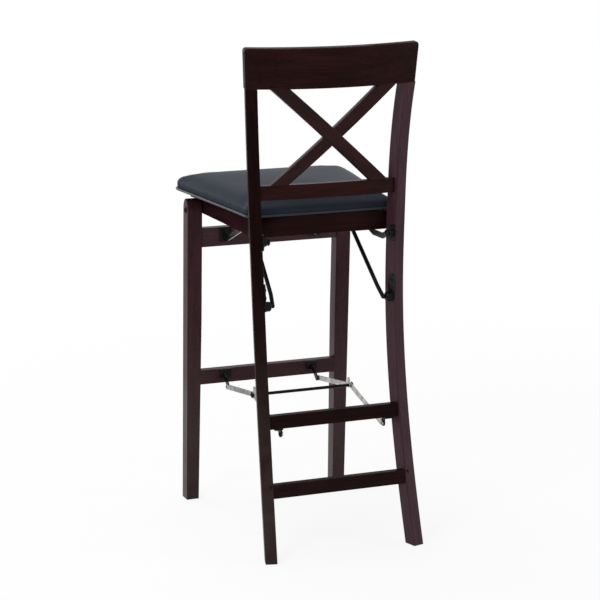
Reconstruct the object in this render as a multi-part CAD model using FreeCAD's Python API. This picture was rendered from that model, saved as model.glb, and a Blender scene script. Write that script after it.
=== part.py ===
import FreeCAD, Part
import math
import os

from FreeCAD import Rotation, Vector

os.makedirs("parts", exist_ok=True)

# Folding bar stool, millimetres.
# +Z is up, -Y is the side a sitter faces, +X is the sitter's left hand.
# The origin is on the floor, in the middle of the space that the four feet and the seat cover.

# Rear posts: a sabre curve, turned in plan so that the back splays, and canted outward.
POST_X = 159.2
POST_Y = 165.8
POST_CENTRE_Z = 700.0
POST_WIDTH = 25.4
POST_DEPTH = 32.7
POST_TURN = 15.2
POST_CANT = 1.43
POST_LINE = [(0, 90.7), (189, 46.8), (377, 14.9), (566, -0.4), (708, 0), (849, 5.1), (1033, 34.1)]
EASED_EDGE = 2.0
BOARD_EDGE = 1.5
PLATE_OVERRUN = 15.0

# Crest rail on top of the posts.
CREST_BOTTOM_Z = 998.0
CREST_HEIGHT = 84.5
CREST_THICKNESS = 22.0
CREST_HALF_BOTTOM = 193.5
CREST_HALF_TOP = 198.5
CREST_END_Y = 204.0
CREST_BOW = 22.0
CREST_LEAN = 7.8
CREST_TOP_ROUND = 5.0
CREST_CORNER_ROUND = 7.0

# Crossed slats and the rail under them.
LOW_RAIL_Z = (761.0, 792.0)
LOW_RAIL_THICKNESS = 18.0
LOW_RAIL_END_Y = 177.0
LOW_RAIL_BOW = 14.0
SLAT_TOP_X = 110.0
SLAT_LOW_X = 106.0
SLAT_WIDTH = 29.0
SLAT_THICKNESS = 13.0
SLAT_TOP_Y = 207.5
SLAT_MIDDLE_Y = 194.0
SLAT_LOW_Y = 174.5
SLAT_LAP_LEAN = 9.2
SLAT_OVERRUN = 0.1

# Stretchers between the rear posts.
REAR_STRETCHERS = {"rear_stretcher_upper": (275.0, 304.5, 206.5), "rear_stretcher_lower": (131.5, 161.5, 235.5)}
STRETCHER_THICKNESS = 18.0

# Front frame, drawn upright about the leg pivot and then leaned.
LEG_PIVOT = Vector(0, -199.5, 690.0)
FRONT_LEAN = 4.6
LEG_OUTER_X = 197.5
LEG_INNER_X = 163.2
LEG_FOOT_INNER_X = 168.2
LEG_TAPER_Z = 431.0
LEG_DEPTH = 35.3
LEG_OVERRUN = 20.0
FRONT_BOARD_END = 182.5
APRON_LOW = 86.2
APRON_HEIGHT = 44.0
FRONT_RAIL_THICKNESS = 18.0
APRON_INSET = 3.0
FOOT_RAIL_LOW = 411.8
FOOT_RAIL_HEIGHT = 34.0
FOOT_RAIL_INSET = 0.6

# Seat frame, board and cushion.
SIDE_RAIL_X = (140.0, 160.0)
RAIL_Z = (681.0, 718.0)
SIDE_RAIL_FRONT_Y = -222.0
SEAT_REAR_Y = 139.5
REAR_RAIL_THICKNESS = 18.0
FRONT_RAIL_Y = (-206.5, -188.5)
BOARD_THICKNESS = 10.0
BOARD_INSET = 14.0
CUSHION_Z = (718.0, 762.0)
CUSHION_FRONT_Y = -257.5
CUSHION_REAR_Y = 143.0
CUSHION_HALF_FRONT = 213.5
CUSHION_HALF_REAR = 163.0
CUSHION_FRONT_CORNER = 46.0
CUSHION_REAR_CORNER = 22.0
CUSHION_TOP_ROUND = 16.0

# Pivots of the folding linkage, on the sitter's left; the other side is mirrored.
ARM_PIVOT = Vector(0, 174.5, 673.0)
SEAT_PIN = Vector(0, -19.9, 699.0)
STRUT_PIVOT = Vector(0, 174.5, 535.0)
STRUT_END = Vector(0, -7.5, 692.0)
STAY_PIVOT = Vector(0, -178.0, 622.0)
STAY_END = Vector(0, -7.5, 686.0)
FOOT_LINK_PIVOT = Vector(0, -183.5, 276.0)
REAR_LINK_PIVOT = Vector(0, 191.5, 260.0)
KNEE = Vector(0, 10.5, 303.0)

# Hardware sections. Plates and ears are drawn on the left; Z offsets are from the pivot they carry.
STEEL = 3.0
RUNNING_GAP = 0.06
SIDE_GAP = 0.4
ARM_X = 134.5
ARM_WIDTH = 12.5
ARM_BENDS = [(150.0, 663.5), (97.0, 663.5)]
PIN_R = 3.0
ARM_PIN_DEPTH = 9.0
ARM_PIN_HEAD_R = 8.5
SEAT_PIN_DEPTH = 12.0
SEAT_PIN_HEAD_R = 6.0
STAY_PIN_HEAD_R = 5.0
REAR_PIN_HEAD_R = 5.5
DOME = 1.25
BOSS_R = 9.0
STRUT_BOSS_R = 10.5
BOSS_X = 131.0
BOSS_ROUND = 4.0
BRACKET_HALF_WIDTH = 11.0
ARM_PLATE_RISE = 7.0
BOSS_END_X = 156.2
PINTLE_LENGTH = 15.0
STRUT_PLATE_RISE = 38.0
STRUT_SCREW_RISES = (19.0, 36.0)
STRUT_R = 4.5
STRUT_X_BOTTOM = 122.0
STRUT_ELBOW = (152.0, 556.0)
STRUT_X_TOP = 112.1
STRUT_PINTLE_R = 3.5
CHANNEL_X = (98.0, 122.0)
CHANNEL_Y = (-124.0, 10.0)
CHANNEL_LOW_Z = 683.5
SLOT_HALF_HEIGHT = 4.2
SLOT_Y = (-112.0, -1.5)
STAY_X = 103.5
STAY_PLATE_X = (93.0, 122.0)
STAY_PLATE_Z = (-10.0, 22.0)
STAY_SCREW_X = (98.0, 117.0)
STAY_SCREW_Z = 15.0
EAR_WIDTH = 14.0
FOOT_PLATE_X = (93.0, 119.0)
FOOT_PLATE_Z = (13.0, 33.0)
FOOT_SCREW_X = (99.0, 114.5)
FOOT_SCREW_Z = 23.0
NECK_WIDTH = 13.0
NECK_ROOT = (1.0, 19.0)
NECK_BEND = (14.0, 13.0)
REAR_PLATE_WIDTH = 18.0
LINK_WIDTH = 11.0
FRONT_LINK_X = 110.5
REAR_LINK_X = 113.9
CROSS_ROD_R = 3.5
KNOB_R = 7.5
KNOB_COLLAR = 1.5
KNEE_TAB = (-3.0, 13.0)
KNEE_TAB_WIDTH = 9.0
LEG_BOLT_R = 4.0
LEG_BOLT_DEPTH = 16.0
BOLT_HEAD_LENGTH = 5.0
BOLT_HEAD_R = 8.0
SCREW_HEAD_R = 3.6
SCREW_HEAD_HEIGHT = 1.6
FAR = 400.0


def box(x, y, z):
    return Part.makeBox(x[1] - x[0], y[1] - y[0], z[1] - z[0], Vector(x[0], y[0], z[0]))


def largest(shape):
    return max(shape.Solids, key=lambda solid: solid.Volume)


def other_side(shape):
    return shape.mirror(Vector(0, 0, 0), Vector(1, 0, 0))


def cylinder_x(radius, x0, x1, centre):
    return Part.makeCylinder(radius, x1 - x0, Vector(x0, centre.y, centre.z), Vector(1, 0, 0))


def turned(shape, centre, axis, degrees):
    copy = shape.copy()
    copy.rotate(centre, axis, degrees)
    return copy


def save(name, shape):
    """Write one piece, as one solid or as a group of like solids."""
    if not shape.isValid():
        raise RuntimeError(name + " is not a valid solid")
    if len(shape.Solids) == 1:
        shape = shape.Solids[0]
    shape.exportStep(os.path.join("parts", name + ".step"))


def save_pair(name, left):
    save(name + "_left", left)
    save(name + "_right", other_side(left))


def eased(shape, radius, wanted):
    """Round the straight or gently curved edges that the test picks."""
    return shape.makeFillet(radius, [edge for edge in shape.Edges if wanted(edge)])


def eased_board(x, y, z):
    """A board along X with its four long edges rounded."""
    return eased(box(x, y, z), BOARD_EDGE, lambda edge: edge.BoundBox.XLength > STRETCHER_THICKNESS + 1)


def flat_bar(points, width, x0, thickness):
    """A flat bar along a bent line in the Y-Z plane, with round ends and round bends."""
    half = width / 2
    bar = None
    for (y0, z0), (y1, z1) in zip(points, points[1:]):
        run = Vector(0, y1 - y0, z1 - z0)
        side = Vector(0, -run.z, run.y).normalize() * half
        start = Vector(x0, y0, z0)
        end = start + run
        face = Part.Face(Part.makePolygon([start + side, end + side, end - side, start - side, start + side]))
        piece = face.extrude(Vector(thickness, 0, 0))
        piece = piece.fuse([cylinder_x(half, x0, x0 + thickness, centre) for centre in (start, end)])
        bar = piece if bar is None else bar.fuse(piece)
    return bar.removeSplitter()


def post_frame(shape):
    """Put a shape drawn in the post's own frame in its place on the left side."""
    shape = turned(shape, Vector(0, 0, 0), Vector(0, 0, 1), -POST_TURN)
    shape = turned(shape, Vector(0, 0, 0), Vector(0, 1, 0), POST_CANT)
    shape.translate(Vector(POST_X, POST_Y, POST_CENTRE_Z))
    return shape


def post_point(point):
    """Give a world point in the post's own frame."""
    moved = point - Vector(POST_X, POST_Y, POST_CENTRE_Z)
    moved = Rotation(Vector(0, 1, 0), -POST_CANT).multVec(moved)
    return Rotation(Vector(0, 0, 1), POST_TURN).multVec(moved)


def front_frame(shape):
    """Lean a shape drawn upright with the front legs about the leg pivot."""
    return turned(shape, LEG_PIVOT, Vector(1, 0, 0), -FRONT_LEAN)


def front_point(point):
    """Give a world point in the upright frame of the front legs, measured from the leg pivot."""
    return Rotation(Vector(1, 0, 0), FRONT_LEAN).multVec(point - LEG_PIVOT)


def post_blank():
    """The sabre-shaped post before its ends are cut."""
    edges = []
    for offset in (-POST_DEPTH / 2, POST_DEPTH / 2):
        line = Part.BSplineCurve()
        line.interpolate([Vector(-POST_WIDTH / 2, u + offset, z - POST_CENTRE_Z) for z, u in POST_LINE])
        edges.append(line)
    front, back = edges
    top = Part.makeLine(front.EndPoint, back.EndPoint)
    bottom = Part.makeLine(back.StartPoint, front.StartPoint)
    outline = Part.Wire([front.toShape(), top, back.toShape(), bottom])
    post = Part.Face(outline).extrude(Vector(POST_WIDTH, 0, 0))
    return eased(post, EASED_EDGE, lambda edge: edge.Length > CREST_BOTTOM_Z / 2)


def crest_frame(shape):
    """Lean a shape drawn above the crest's bottom face."""
    hinge = Vector(0, CREST_END_Y - CREST_THICKNESS / 2, CREST_BOTTOM_Z)
    return turned(shape, hinge, Vector(1, 0, 0), -CREST_LEAN)


def bowed_plate(half, end_y, bow, thickness, z):
    """A plate standing on edge whose rear face bows backward in plan; it overruns both ends."""
    reach = half + PLATE_OVERRUN
    drop = bow * (reach / half) ** 2
    rear = Part.Arc(Vector(-reach, end_y + bow - drop, z[0]), Vector(0, end_y + bow, z[0]),
                    Vector(reach, end_y + bow - drop, z[0]))
    shift = Vector(0, -thickness, 0)
    front = rear.toShape().translated(shift)
    ends = [Part.makeLine(Vector(side * reach, end_y + bow - drop, z[0]),
                          Vector(side * reach, end_y + bow - drop, z[0]) + shift) for side in (-1, 1)]
    outline = Part.Wire(Part.__sortEdges__([rear.toShape(), front] + ends))
    return Part.Face(outline).extrude(Vector(0, 0, z[1] - z[0]))


def crest_rail():
    z = (CREST_BOTTOM_Z, CREST_BOTTOM_Z + CREST_HEIGHT)
    blank = bowed_plate(CREST_HALF_BOTTOM, CREST_END_Y, CREST_BOW, CREST_THICKNESS, z)
    corners = [Vector(-CREST_HALF_BOTTOM, 0, z[0]), Vector(CREST_HALF_BOTTOM, 0, z[0]),
               Vector(CREST_HALF_TOP, 0, z[1]), Vector(-CREST_HALF_TOP, 0, z[1])]
    face = Part.Face(Part.makePolygon(corners + corners[:1]))
    outline = face.extrude(Vector(0, FAR, 0))
    outline = eased(outline, CREST_CORNER_ROUND,
                    lambda edge: abs(edge.BoundBox.ZMin - z[1]) < 1 and edge.BoundBox.YLength > FAR / 2)
    crest = largest(blank.common(outline))
    crest = eased(crest, CREST_TOP_ROUND,
                  lambda edge: edge.BoundBox.ZMin > z[1] - 1 and edge.BoundBox.XLength > FAR / 2)
    return crest_frame(crest)


def above_crest_bottom():
    return crest_frame(box((-FAR, FAR), (-FAR, 2 * FAR), (CREST_BOTTOM_Z, CREST_BOTTOM_Z + FAR)))


def rear_post():
    post = post_frame(post_blank())
    post = post.cut(above_crest_bottom())
    return largest(post.common(box((-FAR, FAR), (-FAR, FAR), (0, 3 * FAR))))


def low_back_rail(posts):
    rail = bowed_plate(POST_X, LOW_RAIL_END_Y, LOW_RAIL_BOW, LOW_RAIL_THICKNESS, LOW_RAIL_Z)
    rail = eased(rail, BOARD_EDGE, lambda edge: edge.BoundBox.XLength > POST_X)
    return largest(rail.cut(posts))


def rear_stretcher(z0, z1, rear_y, posts):
    board = eased_board((-POST_X, POST_X), (rear_y - STRETCHER_THICKNESS, rear_y), (z0, z1))
    return largest(board.cut(posts))


def slat_blank():
    """One diagonal slat, bent to the curve of the back, longer than it ends up."""
    run = Vector(-SLAT_LOW_X - SLAT_TOP_X, 0, LOW_RAIL_Z[1] - CREST_BOTTOM_Z)
    across = Vector(-run.z, 0, run.x).normalize() * (SLAT_WIDTH / 2)
    sections = []
    middle_x = (SLAT_TOP_X - SLAT_LOW_X) / 2
    middle_z = (CREST_BOTTOM_Z + LOW_RAIL_Z[1]) / 2
    places = [(SLAT_TOP_X, CREST_BOTTOM_Z, SLAT_TOP_Y, -SLAT_OVERRUN), (middle_x, middle_z, SLAT_MIDDLE_Y, 0),
              (-SLAT_LOW_X, LOW_RAIL_Z[1], SLAT_LOW_Y, SLAT_OVERRUN)]
    for x, z, y, beyond in places:
        centre = Vector(x, y, z) + run * beyond
        depth = Vector(0, SLAT_THICKNESS / 2, 0)
        corners = [centre + across + depth, centre - across + depth, centre - across - depth,
                   centre + across - depth]
        sections.append(Part.makePolygon(corners + corners[:1]))
    return Part.makeLoft(sections, True, False)


def crossed_slats(crest, low_rail):
    """The two slats, half-lapped where they cross; the first one is whole at the back."""
    first = slat_blank()
    second = other_side(first)
    crossing = Vector(0, SLAT_MIDDLE_Y, (CREST_BOTTOM_Z + LOW_RAIL_Z[1]) / 2)
    rear_half = turned(box((-FAR, FAR), (SLAT_MIDDLE_Y, FAR), (crossing.z - FAR, crossing.z + FAR)),
                       crossing, Vector(1, 0, 0), -SLAT_LAP_LEAN)
    rear_of_first = first.common(rear_half)
    front_of_second = second.cut(rear_half)
    ends = [above_crest_bottom(), box((-FAR, FAR), (-FAR, FAR), (0, LOW_RAIL_Z[1]))]
    second_kept = largest(second.cut(ends + [rear_of_first]))
    first_kept = largest(first.cut(ends + [front_of_second]))
    return first_kept, second_kept


def front_leg():
    """Tapered on its inner face, rounded over the pivot at the top, cut level at the floor."""
    pivot = LEG_PIVOT
    half = LEG_DEPTH / 2
    down = pivot.z + LEG_OVERRUN
    side_view = box((0, FAR), (pivot.y - half, pivot.y + half), (pivot.z - down, pivot.z))
    side_view = side_view.fuse(cylinder_x(half, 0, FAR, pivot)).removeSplitter()
    top = pivot.z + LEG_DEPTH
    foot = pivot.z - down
    corners = [Vector(LEG_INNER_X, 0, top), Vector(LEG_OUTER_X, 0, top), Vector(LEG_OUTER_X, 0, foot),
               Vector(LEG_FOOT_INNER_X, 0, foot), Vector(LEG_INNER_X, 0, LEG_TAPER_Z)]
    front_view = Part.Face(Part.makePolygon(corners + corners[:1])).extrude(Vector(0, -FAR, 0))
    leg = largest(side_view.common(front_view))
    leg = leg.cut(cylinder_x(LEG_BOLT_R + RUNNING_GAP, LEG_INNER_X - 1, LEG_OUTER_X + 1, pivot))
    leg = eased(leg, EASED_EDGE, lambda edge: edge.BoundBox.ZLength > LEG_TAPER_Z / 2)
    leg = front_frame(leg)
    return largest(leg.common(box((0, FAR), (-FAR, 0), (0, 3 * FAR))))


def front_board(low, height, inset, legs):
    """A board between the front legs, set in from their rear faces."""
    rear = LEG_PIVOT.y + LEG_DEPTH / 2 - inset
    z0 = LEG_PIVOT.z - low
    x = (-FRONT_BOARD_END, FRONT_BOARD_END)
    board = eased_board(x, (rear - FRONT_RAIL_THICKNESS, rear), (z0, z0 + height))
    return largest(front_frame(board).cut(legs))


def seat_side_rail():
    rail = box(SIDE_RAIL_X, (SIDE_RAIL_FRONT_Y, SEAT_REAR_Y - REAR_RAIL_THICKNESS), RAIL_Z)
    front_corner = LEG_PIVOT.y - SIDE_RAIL_FRONT_Y
    rail = eased(rail, front_corner / 2, lambda edge: edge.BoundBox.XLength > STEEL
                 and edge.BoundBox.YMax < SIDE_RAIL_FRONT_Y + 1 and edge.BoundBox.ZMax < RAIL_Z[0] + 1)
    rail = rail.cut(cylinder_x(LEG_BOLT_R, 0, FAR, LEG_PIVOT))
    return rail.cut(cylinder_x(PIN_R, 0, SIDE_RAIL_X[0] + SEAT_PIN_DEPTH, SEAT_PIN))


def cushion_outline(inset, z):
    """The seat's plan: wide at the front, narrow at the back, with round corners."""
    front = CUSHION_FRONT_Y + inset
    rear = CUSHION_REAR_Y - inset
    wide = CUSHION_HALF_FRONT - inset
    narrow = CUSHION_HALF_REAR - inset
    corners = [(wide, front), (narrow, rear)]
    points = [Vector(x, y, z) for x, y in corners] + [Vector(-x, y, z) for x, y in reversed(corners)]
    face = Part.Face(Part.makePolygon(points + points[:1]))
    solid = face.extrude(Vector(0, 0, 1))
    radii = {front: CUSHION_FRONT_CORNER - inset / 2, rear: CUSHION_REAR_CORNER - inset / 2}
    for y, radius in radii.items():
        solid = eased(solid, radius, lambda edge: edge.BoundBox.ZLength > 0.9
                      and abs(edge.BoundBox.YMin - y) < 1 and edge.BoundBox.YLength < 0.5)
    return [face for face in solid.Faces if abs(face.CenterOfMass.z - z) < 0.01][0]


def seat_board():
    return cushion_outline(BOARD_INSET, CUSHION_Z[0]).extrude(Vector(0, 0, BOARD_THICKNESS))


def cushion(board):
    pad = cushion_outline(0, CUSHION_Z[0]).extrude(Vector(0, 0, CUSHION_Z[1] - CUSHION_Z[0]))
    pad = eased(pad, CUSHION_TOP_ROUND, lambda edge: edge.BoundBox.ZMin > CUSHION_Z[1] - 0.5)
    return largest(pad.cut(board))


def slide_channel():
    """A U-channel under the board; the strut's pin and the stay's rivet run in its slotted flanges."""
    outer = box(CHANNEL_X, CHANNEL_Y, (CHANNEL_LOW_Z, RAIL_Z[1]))
    inside = box((CHANNEL_X[0] + STEEL, CHANNEL_X[1] - STEEL), (CHANNEL_Y[0] - 1, CHANNEL_Y[1] + 1),
                 (CHANNEL_LOW_Z - 1, RAIL_Z[1] - STEEL))
    slot_ends = [(y, STRUT_END.z) for y in SLOT_Y]
    slot = flat_bar(slot_ends, 2 * SLOT_HALF_HEIGHT, CHANNEL_X[0] - 1, CHANNEL_X[1] - CHANNEL_X[0] + 2)
    return largest(outer.cut([inside, slot]))


def seat_arm():
    """The flat arm that carries the seat's rear half from the posts."""
    points = [(ARM_PIVOT.y, ARM_PIVOT.z)] + ARM_BENDS + [(SEAT_PIN.y, SEAT_PIN.z)]
    arm = flat_bar(points, ARM_WIDTH, ARM_X, STEEL)
    for hole in (ARM_PIVOT, SEAT_PIN):
        arm = arm.cut(cylinder_x(PIN_R + RUNNING_GAP, ARM_X - 1, ARM_X + STEEL + 1, hole))
    return arm


def pivot_bracket(pivot, boss_r, boss_x, plate_low, plate_high, bore_r, post):
    """A plate on the post's inner face with a round boss along X that carries a pin."""
    centre = post_point(Vector(POST_X, pivot.y, pivot.z))
    face = -POST_WIDTH / 2
    rise = Vector(0, 0, plate_high - plate_low)
    low = Vector(face - STEEL, centre.y, centre.z + plate_low)
    plate = Part.makeBox(STEEL, 2 * BRACKET_HALF_WIDTH, rise.z, low - Vector(0, BRACKET_HALF_WIDTH, 0))
    for end in (low, low + rise):
        plate = plate.fuse(Part.makeCylinder(BRACKET_HALF_WIDTH, STEEL, end, Vector(1, 0, 0)))
    plate = post_frame(plate.removeSplitter())
    boss = cylinder_x(boss_r, boss_x, POST_X, pivot)
    boss = eased(boss, BOSS_ROUND, lambda edge: edge.BoundBox.XMax < boss_x + 1)
    bracket = plate.fuse(boss).cut(post)
    bracket = bracket.common(box((0, BOSS_END_X), (0, FAR), (0, 3 * FAR)))
    bracket = largest(bracket.removeSplitter())
    return bracket.cut(cylinder_x(bore_r, boss_x - 1, boss_x + PINTLE_LENGTH, pivot))


def strut():
    """A round rod whose lower end turns outward into the boss and whose upper end carries a pintle."""
    low = Vector(BOSS_X - SIDE_GAP - STRUT_R, STRUT_PIVOT.y, STRUT_PIVOT.z)
    elbow = Vector(STRUT_X_BOTTOM, STRUT_ELBOW[0], STRUT_ELBOW[1])
    high = Vector(STRUT_X_TOP, STRUT_END.y, STRUT_END.z)
    runs = [Part.makeCylinder(STRUT_R, (b - a).Length, a, b - a) for a, b in ((low, elbow), (elbow, high))]
    rod = runs[0].fuse(runs[1:] + [Part.makeSphere(STRUT_R, end) for end in (low, elbow, high)])
    lower_pintle = cylinder_x(STRUT_PINTLE_R, low.x, low.x + PINTLE_LENGTH, STRUT_PIVOT)
    upper_pintle = cylinder_x(STRUT_PINTLE_R, high.x, CHANNEL_X[1] - STEEL - SIDE_GAP, STRUT_END)
    return largest(rod.fuse([lower_pintle, upper_pintle]).removeSplitter())


def stay():
    points = [(STAY_PIVOT.y, STAY_PIVOT.z), (STAY_END.y, STAY_END.z)]
    bar = flat_bar(points, LINK_WIDTH, STAY_X, STEEL)
    bar = bar.cut(cylinder_x(PIN_R + RUNNING_GAP, STAY_X - 1, STAY_X + STEEL + 1, STAY_PIVOT))
    rivet = cylinder_x(STRUT_PINTLE_R, CHANNEL_X[0] + STEEL + SIDE_GAP, STAY_X, STAY_END)
    return largest(bar.fuse(rivet).removeSplitter())


def stay_bracket():
    """A plate behind the apron with an ear that carries the stay."""
    pivot = front_point(STAY_PIVOT) + LEG_PIVOT
    face = LEG_PIVOT.y + LEG_DEPTH / 2 - APRON_INSET
    plate = box(STAY_PLATE_X, (face, face + STEEL), (pivot.z + STAY_PLATE_Z[0], pivot.z + STAY_PLATE_Z[1]))
    ear_x = STAY_X + STEEL + SIDE_GAP
    ear = flat_bar([(face, pivot.z), (pivot.y, pivot.z)], EAR_WIDTH, ear_x, STEEL)
    ear = ear.common(box((0, FAR), (face, FAR), (0, 3 * FAR)))
    bracket = front_frame(plate.fuse(ear).removeSplitter())
    return bracket.cut(cylinder_x(PIN_R, ear_x - 1, ear_x + STEEL + 1, STAY_PIVOT))


def foot_bracket():
    """A plate behind the foot rail with a neck that reaches back to the knee link."""
    pivot = front_point(FOOT_LINK_PIVOT) + LEG_PIVOT
    face = LEG_PIVOT.y + LEG_DEPTH / 2 - FOOT_RAIL_INSET
    plate = box(FOOT_PLATE_X, (face, face + STEEL), (pivot.z + FOOT_PLATE_Z[0], pivot.z + FOOT_PLATE_Z[1]))
    neck_x = FRONT_LINK_X - SIDE_GAP - STEEL
    line = [(face + reach, pivot.z + rise) for reach, rise in (NECK_ROOT, NECK_BEND)]
    neck = flat_bar(line + [(pivot.y, pivot.z)], NECK_WIDTH, neck_x, STEEL)
    neck = neck.common(box((0, FAR), (face, FAR), (0, 3 * FAR)))
    bracket = front_frame(plate.fuse(neck).removeSplitter())
    return bracket.cut(cylinder_x(PIN_R, neck_x - 1, neck_x + STEEL + 1, FOOT_LINK_PIVOT))


def rear_link_bracket():
    """An angle under the rear stretcher that carries the rear knee link."""
    low_z, high_z, rear_y = REAR_STRETCHERS["rear_stretcher_upper"]
    ear_x = REAR_LINK_X + STEEL + SIDE_GAP
    plate_x = (ear_x, ear_x + REAR_PLATE_WIDTH)
    plate = box(plate_x, (rear_y - STRETCHER_THICKNESS, rear_y), (low_z - STEEL, low_z))
    pivot = REAR_LINK_PIVOT
    ear = flat_bar([(pivot.y, low_z), (pivot.y, pivot.z)], EAR_WIDTH, ear_x, STEEL)
    ear = ear.common(box((0, FAR), (0, FAR), (0, low_z)))
    bracket = plate.fuse(ear).removeSplitter()
    return bracket.cut(cylinder_x(PIN_R, ear_x - 1, ear_x + STEEL + 1, pivot))


def knee_link(pivot, x0, tab):
    """One flat bar of the knee brace; the front one carries the stop tab."""
    link = flat_bar([(pivot.y, pivot.z), (KNEE.y, KNEE.z)], LINK_WIDTH, x0, STEEL)
    if tab:
        tip = (KNEE.y + KNEE_TAB[0], KNEE.z + KNEE_TAB[1])
        link = link.fuse(flat_bar([(KNEE.y, KNEE.z), tip], KNEE_TAB_WIDTH, x0, STEEL))
        link = link.removeSplitter()
    return link.cut(cylinder_x(PIN_R + RUNNING_GAP, x0 - 1, x0 + STEEL + 1, pivot))


def rivet(x0, x1, centre, head_r, head_at_high):
    """A pin with a domed head at one end."""
    pin = cylinder_x(PIN_R, x0, x1, centre)
    dome_r = DOME * head_r
    depth = math.sqrt(dome_r ** 2 - head_r ** 2)
    head = Part.makeSphere(dome_r)
    head = head.common(Part.makeBox(dome_r, FAR, FAR, Vector(depth, -FAR / 2, -FAR / 2)))
    if not head_at_high:
        head = head.mirror(Vector(0, 0, 0), Vector(1, 0, 0))
        head.translate(Vector(x0 + depth, centre.y, centre.z))
    else:
        head.translate(Vector(x1 - depth, centre.y, centre.z))
    return largest(pin.fuse(head).removeSplitter())


def leg_bolt():
    """The shouldered bolt each front leg turns on, with a spacer face against the rail."""
    spacer = cylinder_x(BOLT_HEAD_R, SIDE_RAIL_X[1], LEG_INNER_X - SIDE_GAP, LEG_PIVOT)
    shank = cylinder_x(LEG_BOLT_R, SIDE_RAIL_X[1] - LEG_BOLT_DEPTH, LEG_OUTER_X + SIDE_GAP, LEG_PIVOT)
    head = rivet(LEG_OUTER_X - BOLT_HEAD_LENGTH, LEG_OUTER_X + SIDE_GAP, LEG_PIVOT, BOLT_HEAD_R, True)
    return largest(spacer.fuse([shank, head]).removeSplitter())


def cross_rod():
    """The foot-operated rod that joins the two knees."""
    return cylinder_x(CROSS_ROD_R, -FRONT_LINK_X, FRONT_LINK_X, KNEE)


def screw_heads(places, normal):
    """Pan heads standing on a plate, one solid each."""
    heads = [Part.makeCylinder(SCREW_HEAD_R, SCREW_HEAD_HEIGHT, place, normal) for place in places]
    return Part.makeCompound(heads)


def front_bracket_screws():
    """Two screws in each plate on the apron and on the foot rail, both sides."""
    stay_pivot = front_point(STAY_PIVOT) + LEG_PIVOT
    link_pivot = front_point(FOOT_LINK_PIVOT) + LEG_PIVOT
    apron_face = LEG_PIVOT.y + LEG_DEPTH / 2 - APRON_INSET + STEEL
    foot_face = LEG_PIVOT.y + LEG_DEPTH / 2 - FOOT_RAIL_INSET + STEEL
    places = []
    for side in (-1, 1):
        places += [Vector(side * x, apron_face, stay_pivot.z + STAY_SCREW_Z) for x in STAY_SCREW_X]
        places += [Vector(side * x, foot_face, link_pivot.z + FOOT_SCREW_Z) for x in FOOT_SCREW_X]
    return front_frame(screw_heads(places, Vector(0, 1, 0)))


def strut_bracket_screws():
    """Two screws in each strut bracket, above the boss."""
    centre = post_point(Vector(POST_X, STRUT_PIVOT.y, STRUT_PIVOT.z))
    face = -POST_WIDTH / 2 - STEEL - SCREW_HEAD_HEIGHT
    places = [Vector(face, centre.y, centre.z + rise) for rise in STRUT_SCREW_RISES]
    left = post_frame(screw_heads(places, Vector(1, 0, 0)))
    return Part.makeCompound(left.Solids + other_side(left).Solids)


def both_sides(left):
    return Part.makeCompound([left, other_side(left)])


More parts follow.
